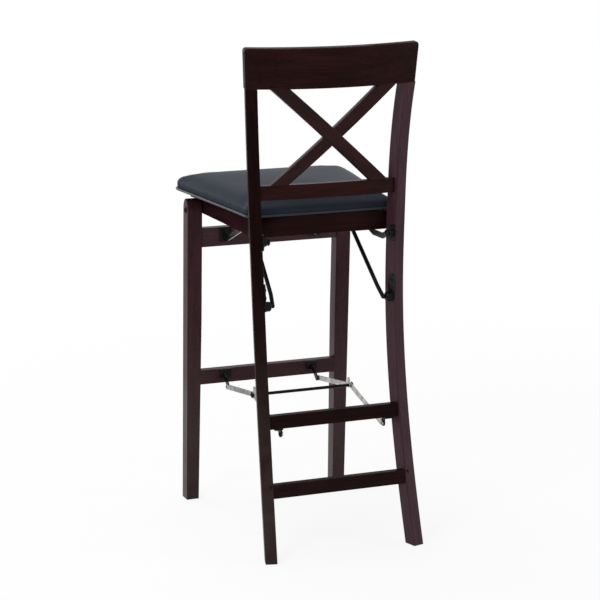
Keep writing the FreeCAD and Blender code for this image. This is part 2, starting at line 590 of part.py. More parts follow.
def main():
    post = rear_post()
    posts = both_sides(post)
    crest = crest_rail()
    low_rail = low_back_rail(posts)
    save_pair("rear_post", post)
    save("crest_rail", crest)
    save("lower_back_rail", low_rail)
    first, second = crossed_slats(crest, low_rail)
    save("cross_slat_outer", first)
    save("cross_slat_inner", second)
    for name, (z0, z1, rear_y) in REAR_STRETCHERS.items():
        save(name, rear_stretcher(z0, z1, rear_y, posts))
    arm_boss_x = ARM_X + STEEL + SIDE_GAP
    save_pair("arm_bracket", pivot_bracket(ARM_PIVOT, BOSS_R, arm_boss_x, -ARM_PLATE_RISE, ARM_PLATE_RISE,
                                           PIN_R, post))
    save_pair("strut_bracket", pivot_bracket(STRUT_PIVOT, STRUT_BOSS_R, BOSS_X, 0, STRUT_PLATE_RISE,
                                             STRUT_PINTLE_R + RUNNING_GAP, post))
    save_pair("rear_link_bracket", rear_link_bracket())
    save("strut_bracket_screws", strut_bracket_screws())

    leg = front_leg()
    legs = both_sides(leg)
    save_pair("front_leg", leg)
    save("front_apron", front_board(APRON_LOW, APRON_HEIGHT, APRON_INSET, legs))
    save("foot_rail", front_board(FOOT_RAIL_LOW, FOOT_RAIL_HEIGHT, FOOT_RAIL_INSET, legs))
    save_pair("stay_bracket", stay_bracket())
    save_pair("foot_bracket", foot_bracket())
    save("front_bracket_screws", front_bracket_screws())

    save_pair("seat_side_rail", seat_side_rail())
    inner = SIDE_RAIL_X[0]
    save("seat_front_rail", eased_board((-inner, inner), FRONT_RAIL_Y, RAIL_Z))
    outer = SIDE_RAIL_X[1]
    rear_rail_y = (SEAT_REAR_Y - REAR_RAIL_THICKNESS, SEAT_REAR_Y)
    save("seat_rear_rail", eased_board((-outer, outer), rear_rail_y, RAIL_Z))
    board = seat_board()
    save("seat_board", board)
    save("seat_cushion", cushion(board))
    save_pair("slide_channel", slide_channel())

    save_pair("seat_arm", seat_arm())
    save_pair("strut", strut())
    save_pair("stay", stay())
    save_pair("front_knee_link", knee_link(FOOT_LINK_PIVOT, FRONT_LINK_X, True))
    save_pair("rear_knee_link", knee_link(REAR_LINK_PIVOT, REAR_LINK_X, False))
    save("cross_rod", cross_rod())

    save("leg_bolts", both_sides(leg_bolt()))
    arm_pin_end = ARM_X + STEEL + SIDE_GAP + ARM_PIN_DEPTH
    save("arm_pins", both_sides(rivet(ARM_X - SIDE_GAP, arm_pin_end, ARM_PIVOT, ARM_PIN_HEAD_R, False)))
    seat_pin_end = SIDE_RAIL_X[0] + SEAT_PIN_DEPTH
    save("seat_pins", both_sides(rivet(ARM_X - SIDE_GAP, seat_pin_end, SEAT_PIN, SEAT_PIN_HEAD_R, False)))
    stay_pin_end = STAY_X + 2 * STEEL + SIDE_GAP
    save("stay_pins", both_sides(rivet(STAY_X - SIDE_GAP, stay_pin_end, STAY_PIVOT, STAY_PIN_HEAD_R, False)))
    neck_x = FRONT_LINK_X - SIDE_GAP - STEEL
    link_end = FRONT_LINK_X + STEEL + SIDE_GAP / 2
    save("foot_link_pins", both_sides(cylinder_x(PIN_R, neck_x, link_end, FOOT_LINK_PIVOT)))
    ear_end = REAR_LINK_X + 2 * STEEL + SIDE_GAP
    rear_start = REAR_LINK_X - SIDE_GAP / 4
    save("rear_link_pins", both_sides(rivet(rear_start, ear_end, REAR_LINK_PIVOT, REAR_PIN_HEAD_R, True)))
    knob = rivet(REAR_LINK_X + STEEL, REAR_LINK_X + STEEL + KNOB_COLLAR, KNEE, KNOB_R, True)
    save_pair("knee_cap", knob)


main()
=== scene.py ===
import math
import random
from collections import namedtuple

import bmesh
import bpy
import numpy as np
from bpy.props import FloatProperty, FloatVectorProperty, IntProperty, PointerProperty
from mathutils import Matrix, Vector
from mathutils.bvhtree import BVHTree


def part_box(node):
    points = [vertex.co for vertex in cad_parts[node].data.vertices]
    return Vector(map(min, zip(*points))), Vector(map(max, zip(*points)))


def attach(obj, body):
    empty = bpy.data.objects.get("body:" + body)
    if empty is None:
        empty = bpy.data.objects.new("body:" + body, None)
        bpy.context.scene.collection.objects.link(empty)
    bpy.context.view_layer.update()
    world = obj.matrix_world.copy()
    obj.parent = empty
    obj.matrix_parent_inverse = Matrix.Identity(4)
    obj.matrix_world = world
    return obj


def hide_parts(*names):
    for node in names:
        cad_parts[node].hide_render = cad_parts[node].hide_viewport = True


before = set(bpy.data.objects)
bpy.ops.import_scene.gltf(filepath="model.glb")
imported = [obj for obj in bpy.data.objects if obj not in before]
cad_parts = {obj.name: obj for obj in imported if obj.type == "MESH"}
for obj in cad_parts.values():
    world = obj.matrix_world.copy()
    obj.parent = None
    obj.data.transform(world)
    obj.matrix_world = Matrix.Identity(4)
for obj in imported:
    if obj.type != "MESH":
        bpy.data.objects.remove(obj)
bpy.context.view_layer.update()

bl_info = {
    "name": "Folding Bar Stool Finish",
    "version": (1, 0, 0),
    "blender": (4, 5, 0),
    "location": "View3D > Sidebar > Stool",
    "description": "Stain, steel, vinyl seat, fasteners and studio for a folding bar stool",
    "category": "Object",
}

MM = 0.001
MERGE_REACH = 0.01 * MM
QUARTER_TURN = math.pi / 2
UP = Vector((0, 0, 1))
TINY = 1e-9
SIDES = ("left", "right")
SEAT_LOW, SEAT_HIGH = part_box("seat_cushion")

# Every wooden piece: the way its grain runs, how bright its stain is made (which paints the light and shade
# on the piece), how far it leans to purple (a painted sheen), how much the lacquer shines, and how much dust
# and painted floor reflection it takes towards the floor.
Board = namedtuple("Board", "grain strength purple shine dust")
BOARDS = {
    "crest_rail": Board("across", 0.78, 0.02, 0.05, 0.09),
    "lower_back_rail": Board("across", 1.0, 0.0, 0.06, 0.0),
    "rear_stretcher_upper": Board("across", 0.5, 0.2, 0.02, 0.09),
    "rear_stretcher_lower": Board("across", 0.55, 0.2, 0.02, 0.09),
    "front_apron": Board("across", 1.45, 0.75, 0.15, 0.0),
    "foot_rail": Board("across", 1.1, 0.6, 0.11, 0.12),
    "seat_front_rail": Board("across", 0.8, 0.1, 0.05, 0.0),
    "seat_rear_rail": Board("across", 0.62, 0.05, 0.04, 0.0),
    "seat_side_rail_left": Board("deep", 0.8, 0.6, 0.0, 0.0),
    "seat_side_rail_right": Board("deep", 0.8, 0.6, 0.0, 0.0),
    "rear_post_left": Board("upright", 0.45, 0.1, 0.03, 0.55),
    "rear_post_right": Board("upright", 1.2, 1.0, 0.13, 0.0),
    "front_leg_left": Board("upright", 1.15, 0.6, 0.09, 0.36),
    "front_leg_right": Board("upright", 1.2, 0.6, 0.09, 0.36),
    "cross_slat_outer": Board("rising", 0.95, 0.08, 0.10, 0.0),
    "cross_slat_inner": Board("falling", 0.95, 0.08, 0.10, 0.0),
}
SLATS = {"cross_slat_outer": 1, "cross_slat_inner": -1}
GRAIN_SEED = 11
GRAIN_START = 3.0
GRAIN_TONE = (-0.07, 0.09)
# How dark the purple of the painted sheen is in the thick stain.
DARK_SHEEN_SHARE = 0.35

BLACK_STEEL = ["arm_bracket", "strut_bracket", "rear_link_bracket", "stay_bracket", "foot_bracket",
               "seat_arm", "slide_channel", "strut"]
ZINC_STEEL = ["stay", "front_knee_link", "rear_knee_link"]
FASTENERS = ["leg_bolts", "arm_pins", "seat_pins", "stay_pins", "foot_link_pins", "rear_link_pins",
             "knee_cap_left", "knee_cap_right"]

# Reshaped boards: the bore that stays as it is, how far the slats lap and sink in, and the angles, in
# degrees, from which edges are drawn sharp.
BOLT_BORE = 12 * MM
SLAT_LAP = 0.4 * MM
SLAT_FOOT_SUNK = 0.3 * MM
SLAT_TOP_SUNK = 1.0 * MM
BOARD_SHARP = 30
SLAT_SHARP = 35

# The pad's round edge runs from the first angle to the last, in degrees above level, where the dome starts.
ROLL_START, ROLL_STEP, ROLL_END = -75, 15, 60
RISE_CURVE = 0.85
PAD_POINTS = 240
PAD_RINGS = 20
RING_CROWDING = 1.3
SWELL_CURVES = (8, 2)
UNDERSIDE_LIFT = 0.5 * MM
RIM_RAYS = 1440
RIM_LEVEL = 3 * MM

# The cover: frames of the simulation, rounds of smoothing, and the pleats at its corners.
COVER_FRAMES = 20
SMOOTHINGS = 3
PLEAT_REACH = 50 * MM
PLEAT_TOP = 1.6
PLEAT_CENTRE = 0.8
PLEATS_A_RADIAN = 26

# The piping, the hem turned under the board, and the staples in it.
PIPING_POINTS = 360
PIPING_SIDES = 12
HEM_POINTS = 300
HEM_LAP = 3 * MM
HEM_RAGGED = 1.5 * MM
HEM_BELOW, HEM_ABOVE = 0.7 * MM, 0.4 * MM
STAPLE_LINE_POINTS = 1200
STAPLE_LINE = 0.6
RAIL_CLEARANCE = 1.5 * MM

# Screws: how far the bracket screws stand from a plate's outer edge, and where they are along a channel.
PLATE_EDGE = 8 * MM
PLATE_FORWARD = 2 * MM
STEEL_THICKNESS = 3 * MM
CHANNEL_SHARES = (0.12, 0.5, 0.8)

# How nodes are laid out in the editor.
NODES_A_ROW, NODE_WIDTH, NODE_HEIGHT = 9, 190, 260

# The studio: half the floor's width, and for every lamp where it stands, its size, its power and what it
# points at.
WHITE = (1.0, 1.0, 1.0)
FLOOR_HALF = 14.0
Lamp = namedtuple("Lamp", "place size power target")
LAMPS = {
    "key_softbox": Lamp((3.2, 2.4, 2.9), (1.5, 1.8), 62.0, (0.10, 0.0, 0.55)),
    "fill_softbox": Lamp((-3.2, 2.4, 1.5), (0.8, 2.0), 26.0, (0.0, 0.0, 0.6)),
    "top_softbox": Lamp((0.3, -0.6, 3.6), (2.0, 1.6), 52.0, (0.0, 0.0, 0.6)),
    "front_softbox": Lamp((1.6, -3.2, 1.9), (1.6, 1.8), 24.0, (0.0, 0.0, 0.6)),
}


# Settings.

def a_colour(name, description, default):
    return FloatVectorProperty(name=name, description=description, default=default, subtype="COLOR",
                               size=3, min=0.0, max=1.0)


def a_length(name, description, millimetres):
    return FloatProperty(name=name, description=description, default=millimetres * MM, unit="LENGTH",
                         precision=4)


def a_factor(name, description, default):
    return FloatProperty(name=name, description=description, default=default, min=0.0, max=2.0,
                         subtype="FACTOR")


def an_angle(name, description, degrees):
    return FloatProperty(name=name, description=description, default=math.radians(degrees), subtype="ANGLE")


class StoolWoodSettings(bpy.types.PropertyGroup):
    dark_stain: a_colour("Dark stain", "Colour where the stain is thick", (0.0085, 0.0018, 0.0016))
    warm_stain: a_colour("Warm stain", "Colour where the stain is thin", (0.034, 0.0085, 0.0065))
    # A painted sheen: boards that lean to this purple look as if they caught a soft light.
    purple_stain: a_colour("Purple stain", "Colour that some boards lean to", (0.060, 0.022, 0.032))
    edge_stain: a_colour("Edge stain", "Colour where an edge was rubbed thin", (0.105, 0.036, 0.028))
    end_stain: a_colour("End grain", "Colour of end grain and open pores", (0.007, 0.003, 0.003))
    # Dust and scuffs, and also a painted reflection of the floor, lighten the low parts of the legs to this
    # colour.
    scuffed: a_colour("Scuffed foot", "Colour of dust and scuffs near the floor", (0.075, 0.055, 0.052))
    scuff_height: a_length("Scuff height", "Height up to which the legs are dusty", 620.0)
    grain_width: a_length("Grain width", "Width of one streak of grain", 2.6)
    grain_length: a_length("Grain length", "Length of one streak of grain", 110.0)
    pore_depth: a_length("Pore depth", "Depth of the open pores", 0.08)
    edge_radius: a_length("Rubbed edge", "How far from an edge the stain is thin", 1.8)
    lacquer: a_factor("Lacquer roughness", "Roughness of the satin lacquer", 0.36)
    crest_narrower: a_factor("Crest width", "Width of the crest against the plain piece", 0.973)
    rear_rail_drop: a_length("Rear rail", "How much deeper the seat's rear rail is", 5.0)
    leg_top_rise: a_length("Leg top", "How far the round tops of the front legs rise", 8.0)
    slat_width: a_length("Slat width", "Width of a slat of the back", 27.0)
    slat_thickness: a_length("Slat thickness", "Thickness of a slat of the back", 16.0)
    slat_edge: a_length("Slat edge", "Radius of a slat's edges", 1.5)
    slat_top_x: a_length("Slat top", "Distance of a slat's top from the middle", 121.5)
    slat_low_x: a_length("Slat foot", "Distance of a slat's foot from the middle", 111.5)
    slat_top_y: a_length("Slat top depth", "Place of a slat's top, front to back", 209.5)
    slat_middle_y: a_length("Slat middle depth", "Place of a slat's middle, front to back", 204.0)
    slat_low_y: a_length("Slat foot depth", "Place of a slat's foot, front to back", 178.5)


class StoolSteelSettings(bpy.types.PropertyGroup):
    enamel: a_colour("Black enamel", "Colour of the enamelled steel", (0.0050, 0.0050, 0.0056))
    bare_steel: a_colour("Bare steel", "Colour where the enamel is worn off", (0.16, 0.155, 0.15))
    zinc: a_colour("Zinc", "Colour of the zinc plating", (0.50, 0.50, 0.49))
    zinc_shadow: a_colour("Dull zinc", "Colour of dull zinc", (0.27, 0.265, 0.25))
    blackened: a_colour("Black oxide", "Colour of pins, bolts and screws", (0.012, 0.0115, 0.012))
    wear_radius: a_length("Wear width", "How far from an edge the finish is worn", 0.7)
    pin_wear: a_length("Pin wear", "How far from an edge a pin is rubbed bright", 0.5)
    screw_height: a_length("Screw head height", "How far a screw head stands up", 1.9)
    screw_slot: a_length("Cross recess", "Width of the cross recess", 0.9)


class StoolSeatSettings(bpy.types.PropertyGroup):
    vinyl: a_colour("Vinyl", "Colour of the seat cover", (0.0240, 0.0290, 0.0395))
    vinyl_bright: a_colour("Stretched vinyl", "Colour where the cover is stretched", (0.0270, 0.0325, 0.0450))
    plywood: a_colour("Plywood", "Colour of the seat board", (0.46, 0.33, 0.20))
    plywood_dark: a_colour("Plywood grain", "Colour of the board's dark grain", (0.27, 0.165, 0.085))
    staple_steel: a_colour("Staples", "Colour of the staples", (0.55, 0.55, 0.56))
    staple_dull: a_colour("Dull staples", "Colour of dull patches on the staples", (0.33, 0.32, 0.30))
    slack: a_length("Slack", "How much smaller the foam is than the finished pad", 0.5)
    roll: a_length("Edge roll", "Radius of the round edge", 13.0)
    dome: a_length("Dome", "Height of the pad's middle above its edge roll", 19.0)
    front_rise: a_length("Front rise", "How much higher the round edge is at the front", 16.0)
    wider: a_factor("Pad width", "Width of the pad against the plain cushion", 1.034)
    longer: a_factor("Pad length", "Length of the pad against the plain cushion", 1.020)
    tuck: a_length("Tuck", "How far in the cover meets the board", 30.0)
    voxel: a_length("Simulation cell", "Cell of the mesh that the cover is inflated on", 5.0)
    swell_limit: a_length("Swell limit", "Most that a point of the cover may move", 5.0)
    pressure: FloatProperty(name="Foam pressure", description="Pressure of the foam", default=4.0)
    pleat: a_length("Corner pleats", "Depth of the gathers at the corners", 0.35)
    piping: a_length("Piping", "Radius of the piping round the rim", 2.6)
    board_share: a_factor("Board size", "Size of the board against the plain piece", 0.87)
    hem: a_length("Hem", "Width of cover turned under the board", 26.0)
    staple_gap: a_length("Staple spacing", "Distance between staples", 24.0)
    staple_width: a_length("Staple width", "Width of one staple", 10.0)
    staple_wire: a_length("Staple wire", "Thickness of the staple's wire", 0.9)
    staple_seed: IntProperty(name="Staple seed", description="Changes how the staples lie", default=7)


class StoolStageSettings(bpy.types.PropertyGroup):
    floor_colour: a_colour("Floor", "Colour of the floor", (0.90, 0.90, 0.90))
    background: a_factor("Background", "Brightness of the backdrop; 1 is white", 1.0)
    fill: a_factor("Fill light", "Light that comes from all round", 0.42)
    camera_place: FloatVectorProperty(name="Camera place", description="Where the camera stands", size=3,
                                      default=(1.5391, 4.1269, 1.4164), subtype="TRANSLATION", unit="LENGTH")
    camera_azimuth: an_angle("Camera azimuth", "Turn of the view from +Y towards +X", 20.459)
    camera_elevation: an_angle("Camera elevation", "Height of the view above the horizon", 11.692)
    camera_roll: an_angle("Camera roll", "Tilt of the picture", -0.590)
    camera_lens: FloatProperty(name="Lens", description="Focal length in millimetres", default=122.18)
    camera_sensor: FloatProperty(name="Sensor", description="Sensor's width in millimetres", default=36.0)


# Node helpers.

class Value:
    """An output of a node, which takes part in sums and products like a number."""

    def __init__(self, tree, socket):
        self.tree, self.socket = tree, socket

    def math(self, operation, other=0.0):
        return math_of(self.tree, operation, self, other)

    def __add__(self, other):
        return self.math("ADD", other)

    def __sub__(self, other):
        return self.math("SUBTRACT", other)

    def __mul__(self, other):
        return self.math("MULTIPLY", other)

    def __truediv__(self, other):
        return self.math("DIVIDE", other)

    def __rsub__(self, other):
        return math_of(self.tree, "SUBTRACT", other, self)

    def __rtruediv__(self, other):
        return math_of(self.tree, "DIVIDE", other, self)

    def clamped(self):
        """The result of a sum or a product, held between 0 and 1."""
        self.socket.node.use_clamp = True
        return self

    def between(self, low, high, to_low=0.0, to_high=1.0):
        """The value between two limits, mapped smoothly on to another range."""
        return put(self.tree, "ShaderNodeMapRange", {
            "Value": self, "From Min": low, "From Max": high, "To Min": to_low, "To Max": to_high},
            interpolation_type="SMOOTHSTEP")["Result"]

    def blend(self, first, second):
        """Two colours mixed by the value. A Mix node has them at inputs 6 and 7 and at output 2."""
        return put(self.tree, "ShaderNodeMix", {"Factor": self, 6: first, 7: second}, data_type="RGBA")[2]

    def noise(self, scale=1.0, detail=3.0, distortion=0.0, roughness=0.5):
        return put(self.tree, "ShaderNodeTexNoise", {
            "Vector": self, "Scale": scale, "Detail": detail, "Distortion": distortion,
            "Roughness": roughness})["Fac"]

    def stretched(self, scale):
        return put(self.tree, "ShaderNodeVectorMath", {0: self, 1: scale}, operation="MULTIPLY")[0]

    def length(self):
        return put(self.tree, "ShaderNodeVectorMath", {0: self}, operation="LENGTH")["Value"]

    def parts(self):
        return put(self.tree, "ShaderNodeSeparateXYZ", {0: self})


class Node:
    """A node of a tree. Its outputs are found by name or number."""

    def __init__(self, tree, made):
        self.tree, self.made = tree, made

    def __getitem__(self, key):
        return Value(self.tree, self.made.outputs[key])

    def feed(self, values):
        """Link or set inputs by name or number. A colour may be given without its opacity."""
        for key, value in values.items():
            socket = self.made.inputs[key]
            if isinstance(value, Value):
                self.tree.links.new(value.socket, socket)
            elif socket.type == "RGBA" and len(value) == 3:
                socket.default_value = (*value, 1.0)
            else:
                socket.default_value = value


def put(tree, kind, values=None, **settings):
    """Add a node, set its options and feed its inputs."""
    made = tree.nodes.new(kind)
    for key, value in settings.items():
        setattr(made, key, value)
    row, column = divmod(len(tree.nodes), NODES_A_ROW)
    made.location = (NODE_WIDTH * column, -NODE_HEIGHT * row)
    node = Node(tree, made)
    node.feed(values or {})
    return node


def math_of(tree, operation, first, second):
    return put(tree, "ShaderNodeMath", {0: first, 1: second}, operation=operation)[0]


def vector_of(tree, x=0.0, y=0.0, z=0.0):
    return put(tree, "ShaderNodeCombineXYZ", {"X": x, "Y": y, "Z": z})[0]


def new_group(name, kind, inputs, outputs):
    """An empty node group. An input is given as its default number, or as its kind where it has none."""
    group = bpy.data.node_groups.new(name, kind)
    for label, given in inputs.items():
        plain = isinstance(given, str)
        sort = given if plain else type(given).__name__.capitalize()
        socket = group.interface.new_socket(label, in_out="INPUT", socket_type="NodeSocket" + sort)
        if not plain:
            socket.default_value = given
    for label, sort in outputs.items():
        group.interface.new_socket(label, in_out="OUTPUT", socket_type="NodeSocket" + sort)
    return group, put(group, "NodeGroupInput"), put(group, "NodeGroupOutput")


# Effects that several finishes use.

def build_rubbed_edge(name):
    """Masks the convex edges of a piece, unevenly, and softens the edge itself."""
    group, given, sink = new_group(name, "ShaderNodeTree",
                                   {"Vector": "Vector", "Radius": 0.001, "Amount": 1.0, "Breakup": 60.0},
                                   {"Mask": "Float", "Normal": "Vector"})
    rounded = put(group, "ShaderNodeBevel", {"Radius": given["Radius"]}, samples=4)[0]
    facing = put(group, "ShaderNodeNewGeometry")["Normal"]
    alike = put(group, "ShaderNodeVectorMath", {0: rounded, 1: facing}, operation="DOT_PRODUCT")["Value"]
    broken = given["Vector"].noise(given["Breakup"], detail=4.0).between(low=0.36, high=0.62)
    mask = alike.between(low=0.995, high=0.80) * broken * given["Amount"]
    sink.feed({"Mask": mask.clamped(), "Normal": rounded})
    return group


def build_long_grain(name):
    """Colour, gloss and relief of stained close-grained wood whose grain runs along the vector's X."""
    group, given, sink = new_group(
        name, "ShaderNodeTree",
        {"Vector": "Vector", "Width": 0.0026, "Length": 0.11, "Dark": "Color", "Warm": "Color",
         "End": "Color", "Rubbed": "Color", "Tone": 0.0, "End Mask": 0.0, "Edge Mask": 0.0},
        {"Color": "Color", "Gloss": "Float", "Height": "Float"})
    across = 1.0 / given["Width"]
    vector = given["Vector"].stretched(vector_of(group, 1.0 / given["Length"], across, across))
    streaks = vector.noise(detail=5.0, distortion=0.4, roughness=0.6)
    fibres = vector.noise(scale=4.0, detail=2.0)
    figure = vector.stretched((0.35, 0.085, 0.085)).noise(distortion=1.4)
    blotches = given["Vector"].noise(scale=9.0, detail=2.0)
    cells = vector.stretched((3.2, 2.4, 2.4))
    pores = put(group, "ShaderNodeTexVoronoi", {"Vector": cells, "Scale": 1.0}, feature="F1")
    open_pore = pores["Distance"].between(low=0.34, high=0.12) * pores["Color"].between(low=0.52, high=0.60)
    pore_colour, pore_gloss, pore_depth = 0.7, 0.25, 0.6
    fibre_height, streak_height = 0.12, 0.28
    shade = streaks.between(low=0.30, high=0.72, to_high=0.55)
    shade = shade + figure.between(low=0.30, high=0.75, to_high=0.45) + given["Tone"]
    shade = (shade * blotches.between(low=0.25, high=0.75, to_low=0.62, to_high=1.12)).clamped()
    colour = shade.blend(given["Dark"], given["Warm"])
    colour = (open_pore * pore_colour).blend(colour, given["End"])
    colour = given["End Mask"].blend(colour, given["End"])
    gloss = blotches.between(low=0.2, high=0.8, to_low=-0.05, to_high=0.05) + open_pore * pore_gloss
    height = fibres * fibre_height + streaks * streak_height - open_pore * pore_depth
    sink.feed({"Color": given["Edge Mask"].blend(colour, given["Rubbed"]), "Gloss": gloss, "Height": height})
    return group


def build_handling(name):
    """Smudges and fine rub marks that change the gloss of a smooth surface."""
    group, given, sink = new_group(
        name, "ShaderNodeTree", {"Vector": "Vector", "Roughness": 0.4, "Spread": 0.1, "Patch Scale": 25.0},
        {"Roughness": "Float", "Patches": "Float"})
    patches = given["Vector"].noise(given["Patch Scale"], detail=5.0, distortion=0.3)
    rubs = given["Vector"].stretched((1.0, 9.0, 9.0)).noise(scale=220.0, detail=2.0)
    patch_share, rub_share, middle = 0.75, 0.25, 0.5
    centred = patches * patch_share + rubs * rub_share - middle
    sink.feed({"Roughness": (given["Roughness"] + centred * given["Spread"]).clamped(),
               "Patches": patches.between(low=0.35, high=0.65)})
    return group


def effect(tree, name, values):
    """Place a shared effect in a material; it is built the first time that it is asked for."""
    builders = {"rubbed_edge": build_rubbed_edge, "long_grain": build_long_grain, "handling": build_handling}
    group = bpy.data.node_groups.get(name) or builders[name](name)
    return put(tree, "ShaderNodeGroup", values, node_tree=group)


def rubbed_edge(place, radius, amount, breakup):
    return effect(place.tree, "rubbed_edge", {"Vector": place["Object"], "Radius": radius, "Amount": amount,
                                              "Breakup": breakup})


def handled(place, roughness, spread, patch_scale):
    return effect(place.tree, "handling", {"Vector": place["Object"], "Roughness": roughness,
                                           "Spread": spread, "Patch Scale": patch_scale})


def new_material(name):
    """A material with its shader, and the coordinates that its patterns are placed by."""
    material = bpy.data.materials.new(name)
    material.use_nodes = True
    tree = material.node_tree
    tree.nodes.clear()
    shader = put(tree, "ShaderNodeBsdfPrincipled")
    put(tree, "ShaderNodeOutputMaterial", {"Surface": shader[0]})
    return material, shader, put(tree, "ShaderNodeTexCoord")


def relief(shader, height, depth, strength=0.5, edge=None):
    """Feed a height into the shader's normal, over softened edges where the finish has them."""
    bump = put(shader.tree, "ShaderNodeBump", {"Height": height, "Distance": depth, "Strength": strength})
    if edge:
        bump.feed({"Normal": edge["Normal"]})
    shader.feed({"Normal": bump[0]})


# Finishes.

def stain_of(colour, purple, board):
    """A stain colour made brighter or darker for a board and leaned towards purple; both paint the light,
    shade and sheen on the board.
    """
    return [board.strength * (c + (p - c) * board.purple) for c, p in zip(colour, purple)]


def espresso_wood(name, turn, start, tone, board, wood):
    """Espresso-stained wood with its grain along the direction that the turn brings to X."""
    material, shader, place = new_material(name)
    tree = shader.tree
    grain = put(tree, "ShaderNodeMapping", {"Vector": place["Object"], "Location": start, "Rotation": turn})
    facing = put(tree, "ShaderNodeMapping", {"Vector": place["Normal"], "Rotation": turn})
    edge = rubbed_edge(place, wood.edge_radius, amount=0.55, breakup=45.0)
    # The purple that the board leans to is a painted sheen, and its brightness paints the light and shade on
    # it.
    dark_sheen_purple = [DARK_SHEEN_SHARE * channel for channel in wood.purple_stain]
    end = facing[0].parts()["X"].math("ABSOLUTE")
    long_grain = effect(tree, "long_grain", {
        "Vector": grain[0], "Width": wood.grain_width, "Length": wood.grain_length,
        "Dark": stain_of(wood.dark_stain, dark_sheen_purple, board),
        "Warm": stain_of(wood.warm_stain, wood.purple_stain, board),
        "End": stain_of(wood.end_stain, wood.end_stain, board),
        "Rubbed": stain_of(wood.edge_stain, wood.edge_stain, board), "Tone": tone,
        "End Mask": end.between(low=0.75, high=0.95), "Edge Mask": edge["Mask"]})
    gloss = handled(place, wood.lacquer, spread=0.16, patch_scale=14.0)["Roughness"] + long_grain["Gloss"]
    # Towards the floor the colour goes to dust and scuffs and also to a painted reflection of the floor, in
    # patches.
    dust_and_reflection_share = place["Object"].parts()["Z"].between(low=wood.scuff_height, high=0.0, to_high=board.dust)
    patchy = place["Object"].noise(scale=16.0, detail=4.0, distortion=0.5)
    patchy = patchy.between(low=0.25, high=0.7, to_low=0.45)
    shader.feed({"Base Color": (dust_and_reflection_share * patchy).blend(long_grain["Color"], wood.scuffed),
                 "Roughness": gloss.clamped(), "Specular IOR Level": board.shine})
    relief(shader, long_grain["Height"], wood.pore_depth, strength=0.9, edge=edge)
    return material


def enamelled_steel(steel):
    """Black enamel, worn to bare steel in small patches along the edges."""
    material, shader, place = new_material("black_enamel")
    edge = rubbed_edge(place, steel.wear_radius, amount=0.35, breakup=160.0)
    handling = handled(place, roughness=0.24, spread=0.22, patch_scale=60.0)
    shader.feed({"Base Color": edge["Mask"].blend(steel.enamel, steel.bare_steel), "Metallic": edge["Mask"],
                 "Roughness": handling["Roughness"], "Specular IOR Level": 0.10})
    relief(shader, place["Object"].noise(scale=700.0, detail=2.0), depth=0.05 * MM, edge=edge)
    return material


def zinc_plated(steel):
    """Zinc-plated strip with rolling lines and dull patches."""
    material, shader, place = new_material("zinc_strip")
    edge = rubbed_edge(place, steel.wear_radius, amount=0.8, breakup=90.0)
    handling = handled(place, roughness=0.36, spread=0.3, patch_scale=70.0)
    dull_share = 0.8
    colour = (handling["Patches"] * dull_share).blend(steel.zinc, steel.zinc_shadow)
    shader.feed({"Base Color": edge["Mask"].blend(colour, steel.zinc), "Roughness": handling["Roughness"],
                 "Metallic": 1.0})
    relief(shader, place["Object"].stretched((900.0, 30.0, 900.0)).noise(), depth=0.04 * MM, edge=edge)
    return material


def black_oxide(steel):
    """Blackened pins, bolts and screws, with bright rub marks on their edges."""
    material, shader, place = new_material("black_oxide")
    edge = rubbed_edge(place, steel.pin_wear, amount=0.5, breakup=240.0)
    handling = handled(place, roughness=0.33, spread=0.3, patch_scale=180.0)
    shader.feed({"Base Color": edge["Mask"].blend(steel.blackened, steel.bare_steel), "Metallic": 0.3,
                 "Roughness": handling["Roughness"], "Specular IOR Level": 0.10})
    relief(shader, place["Object"].noise(scale=900.0), depth=0.03 * MM, edge=edge)
    return material


def smooth_vinyl(name, seat, roughness, shine):
    """Soft black vinyl with a fine pebble, slightly lighter where it is stretched."""
    material, shader, place = new_material(name)
    handling = handled(place, roughness, spread=0.2, patch_scale=11.0)
    pebbles = put(shader.tree, "ShaderNodeTexVoronoi", {"Vector": place["Object"], "Scale": 760.0},
                  feature="SMOOTH_F1")["Distance"]
    creases = place["Object"].noise(scale=260.0, detail=4.0, distortion=0.8)
    shader.feed({"Base Color": handling["Patches"].blend(seat.vinyl, seat.vinyl_bright),
                 "Roughness": handling["Roughness"], "Specular IOR Level": shine})
    pebble_height, crease_height = 0.65, 0.45
    relief(shader, pebbles * pebble_height + creases * crease_height, depth=0.10 * MM, strength=0.55)
    return material


def raw_plywood(seat):
    """The pale face veneer of the seat board."""
    material, shader, place = new_material("raw_plywood")
    vector = place["Object"].stretched((260.0, 7.0, 260.0))
    grain = vector.noise(detail=5.0, distortion=0.5)
    figure = vector.stretched((0.08, 0.5, 0.08)).noise(distortion=1.5)
    dark = grain.between(low=0.35, high=0.7) * figure.between(low=0.3, high=0.7, to_low=0.4)
    shader.feed({"Base Color": dark.blend(seat.plywood, seat.plywood_dark),
                 "Roughness": grain.between(low=0.3, high=0.7, to_low=0.62, to_high=0.8)})
    relief(shader, grain, depth=0.15 * MM, strength=0.6)
    return material


def staple_wire(seat):
    """Bright wire with dull patches."""
    material, shader, place = new_material("staple_wire")
    handling = handled(place, roughness=0.32, spread=0.3, patch_scale=300.0)
    shader.feed({"Base Color": handling["Patches"].blend(seat.staple_steel, seat.staple_dull),
                 "Roughness": handling["Roughness"], "Metallic": 1.0})
    return material


def dress(nodes, material):
    """Give CAD pieces a finish."""
    for name in nodes:
        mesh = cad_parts[name].data
        mesh.materials.clear()
        mesh.materials.append(material)


# Mesh helpers.

def placed(name, data):
    """A new object at the origin of the scene."""
    piece = bpy.data.objects.new(name, data)
    bpy.context.scene.collection.objects.link(piece)
    return piece


def opened(mesh, merge=True):
    """A mesh opened for work, with its double points merged unless that is turned off."""
    work = bmesh.new()
    work.from_mesh(mesh)
    if merge:
        bmesh.ops.remove_doubles(work, verts=work.verts, dist=MERGE_REACH)
    return work


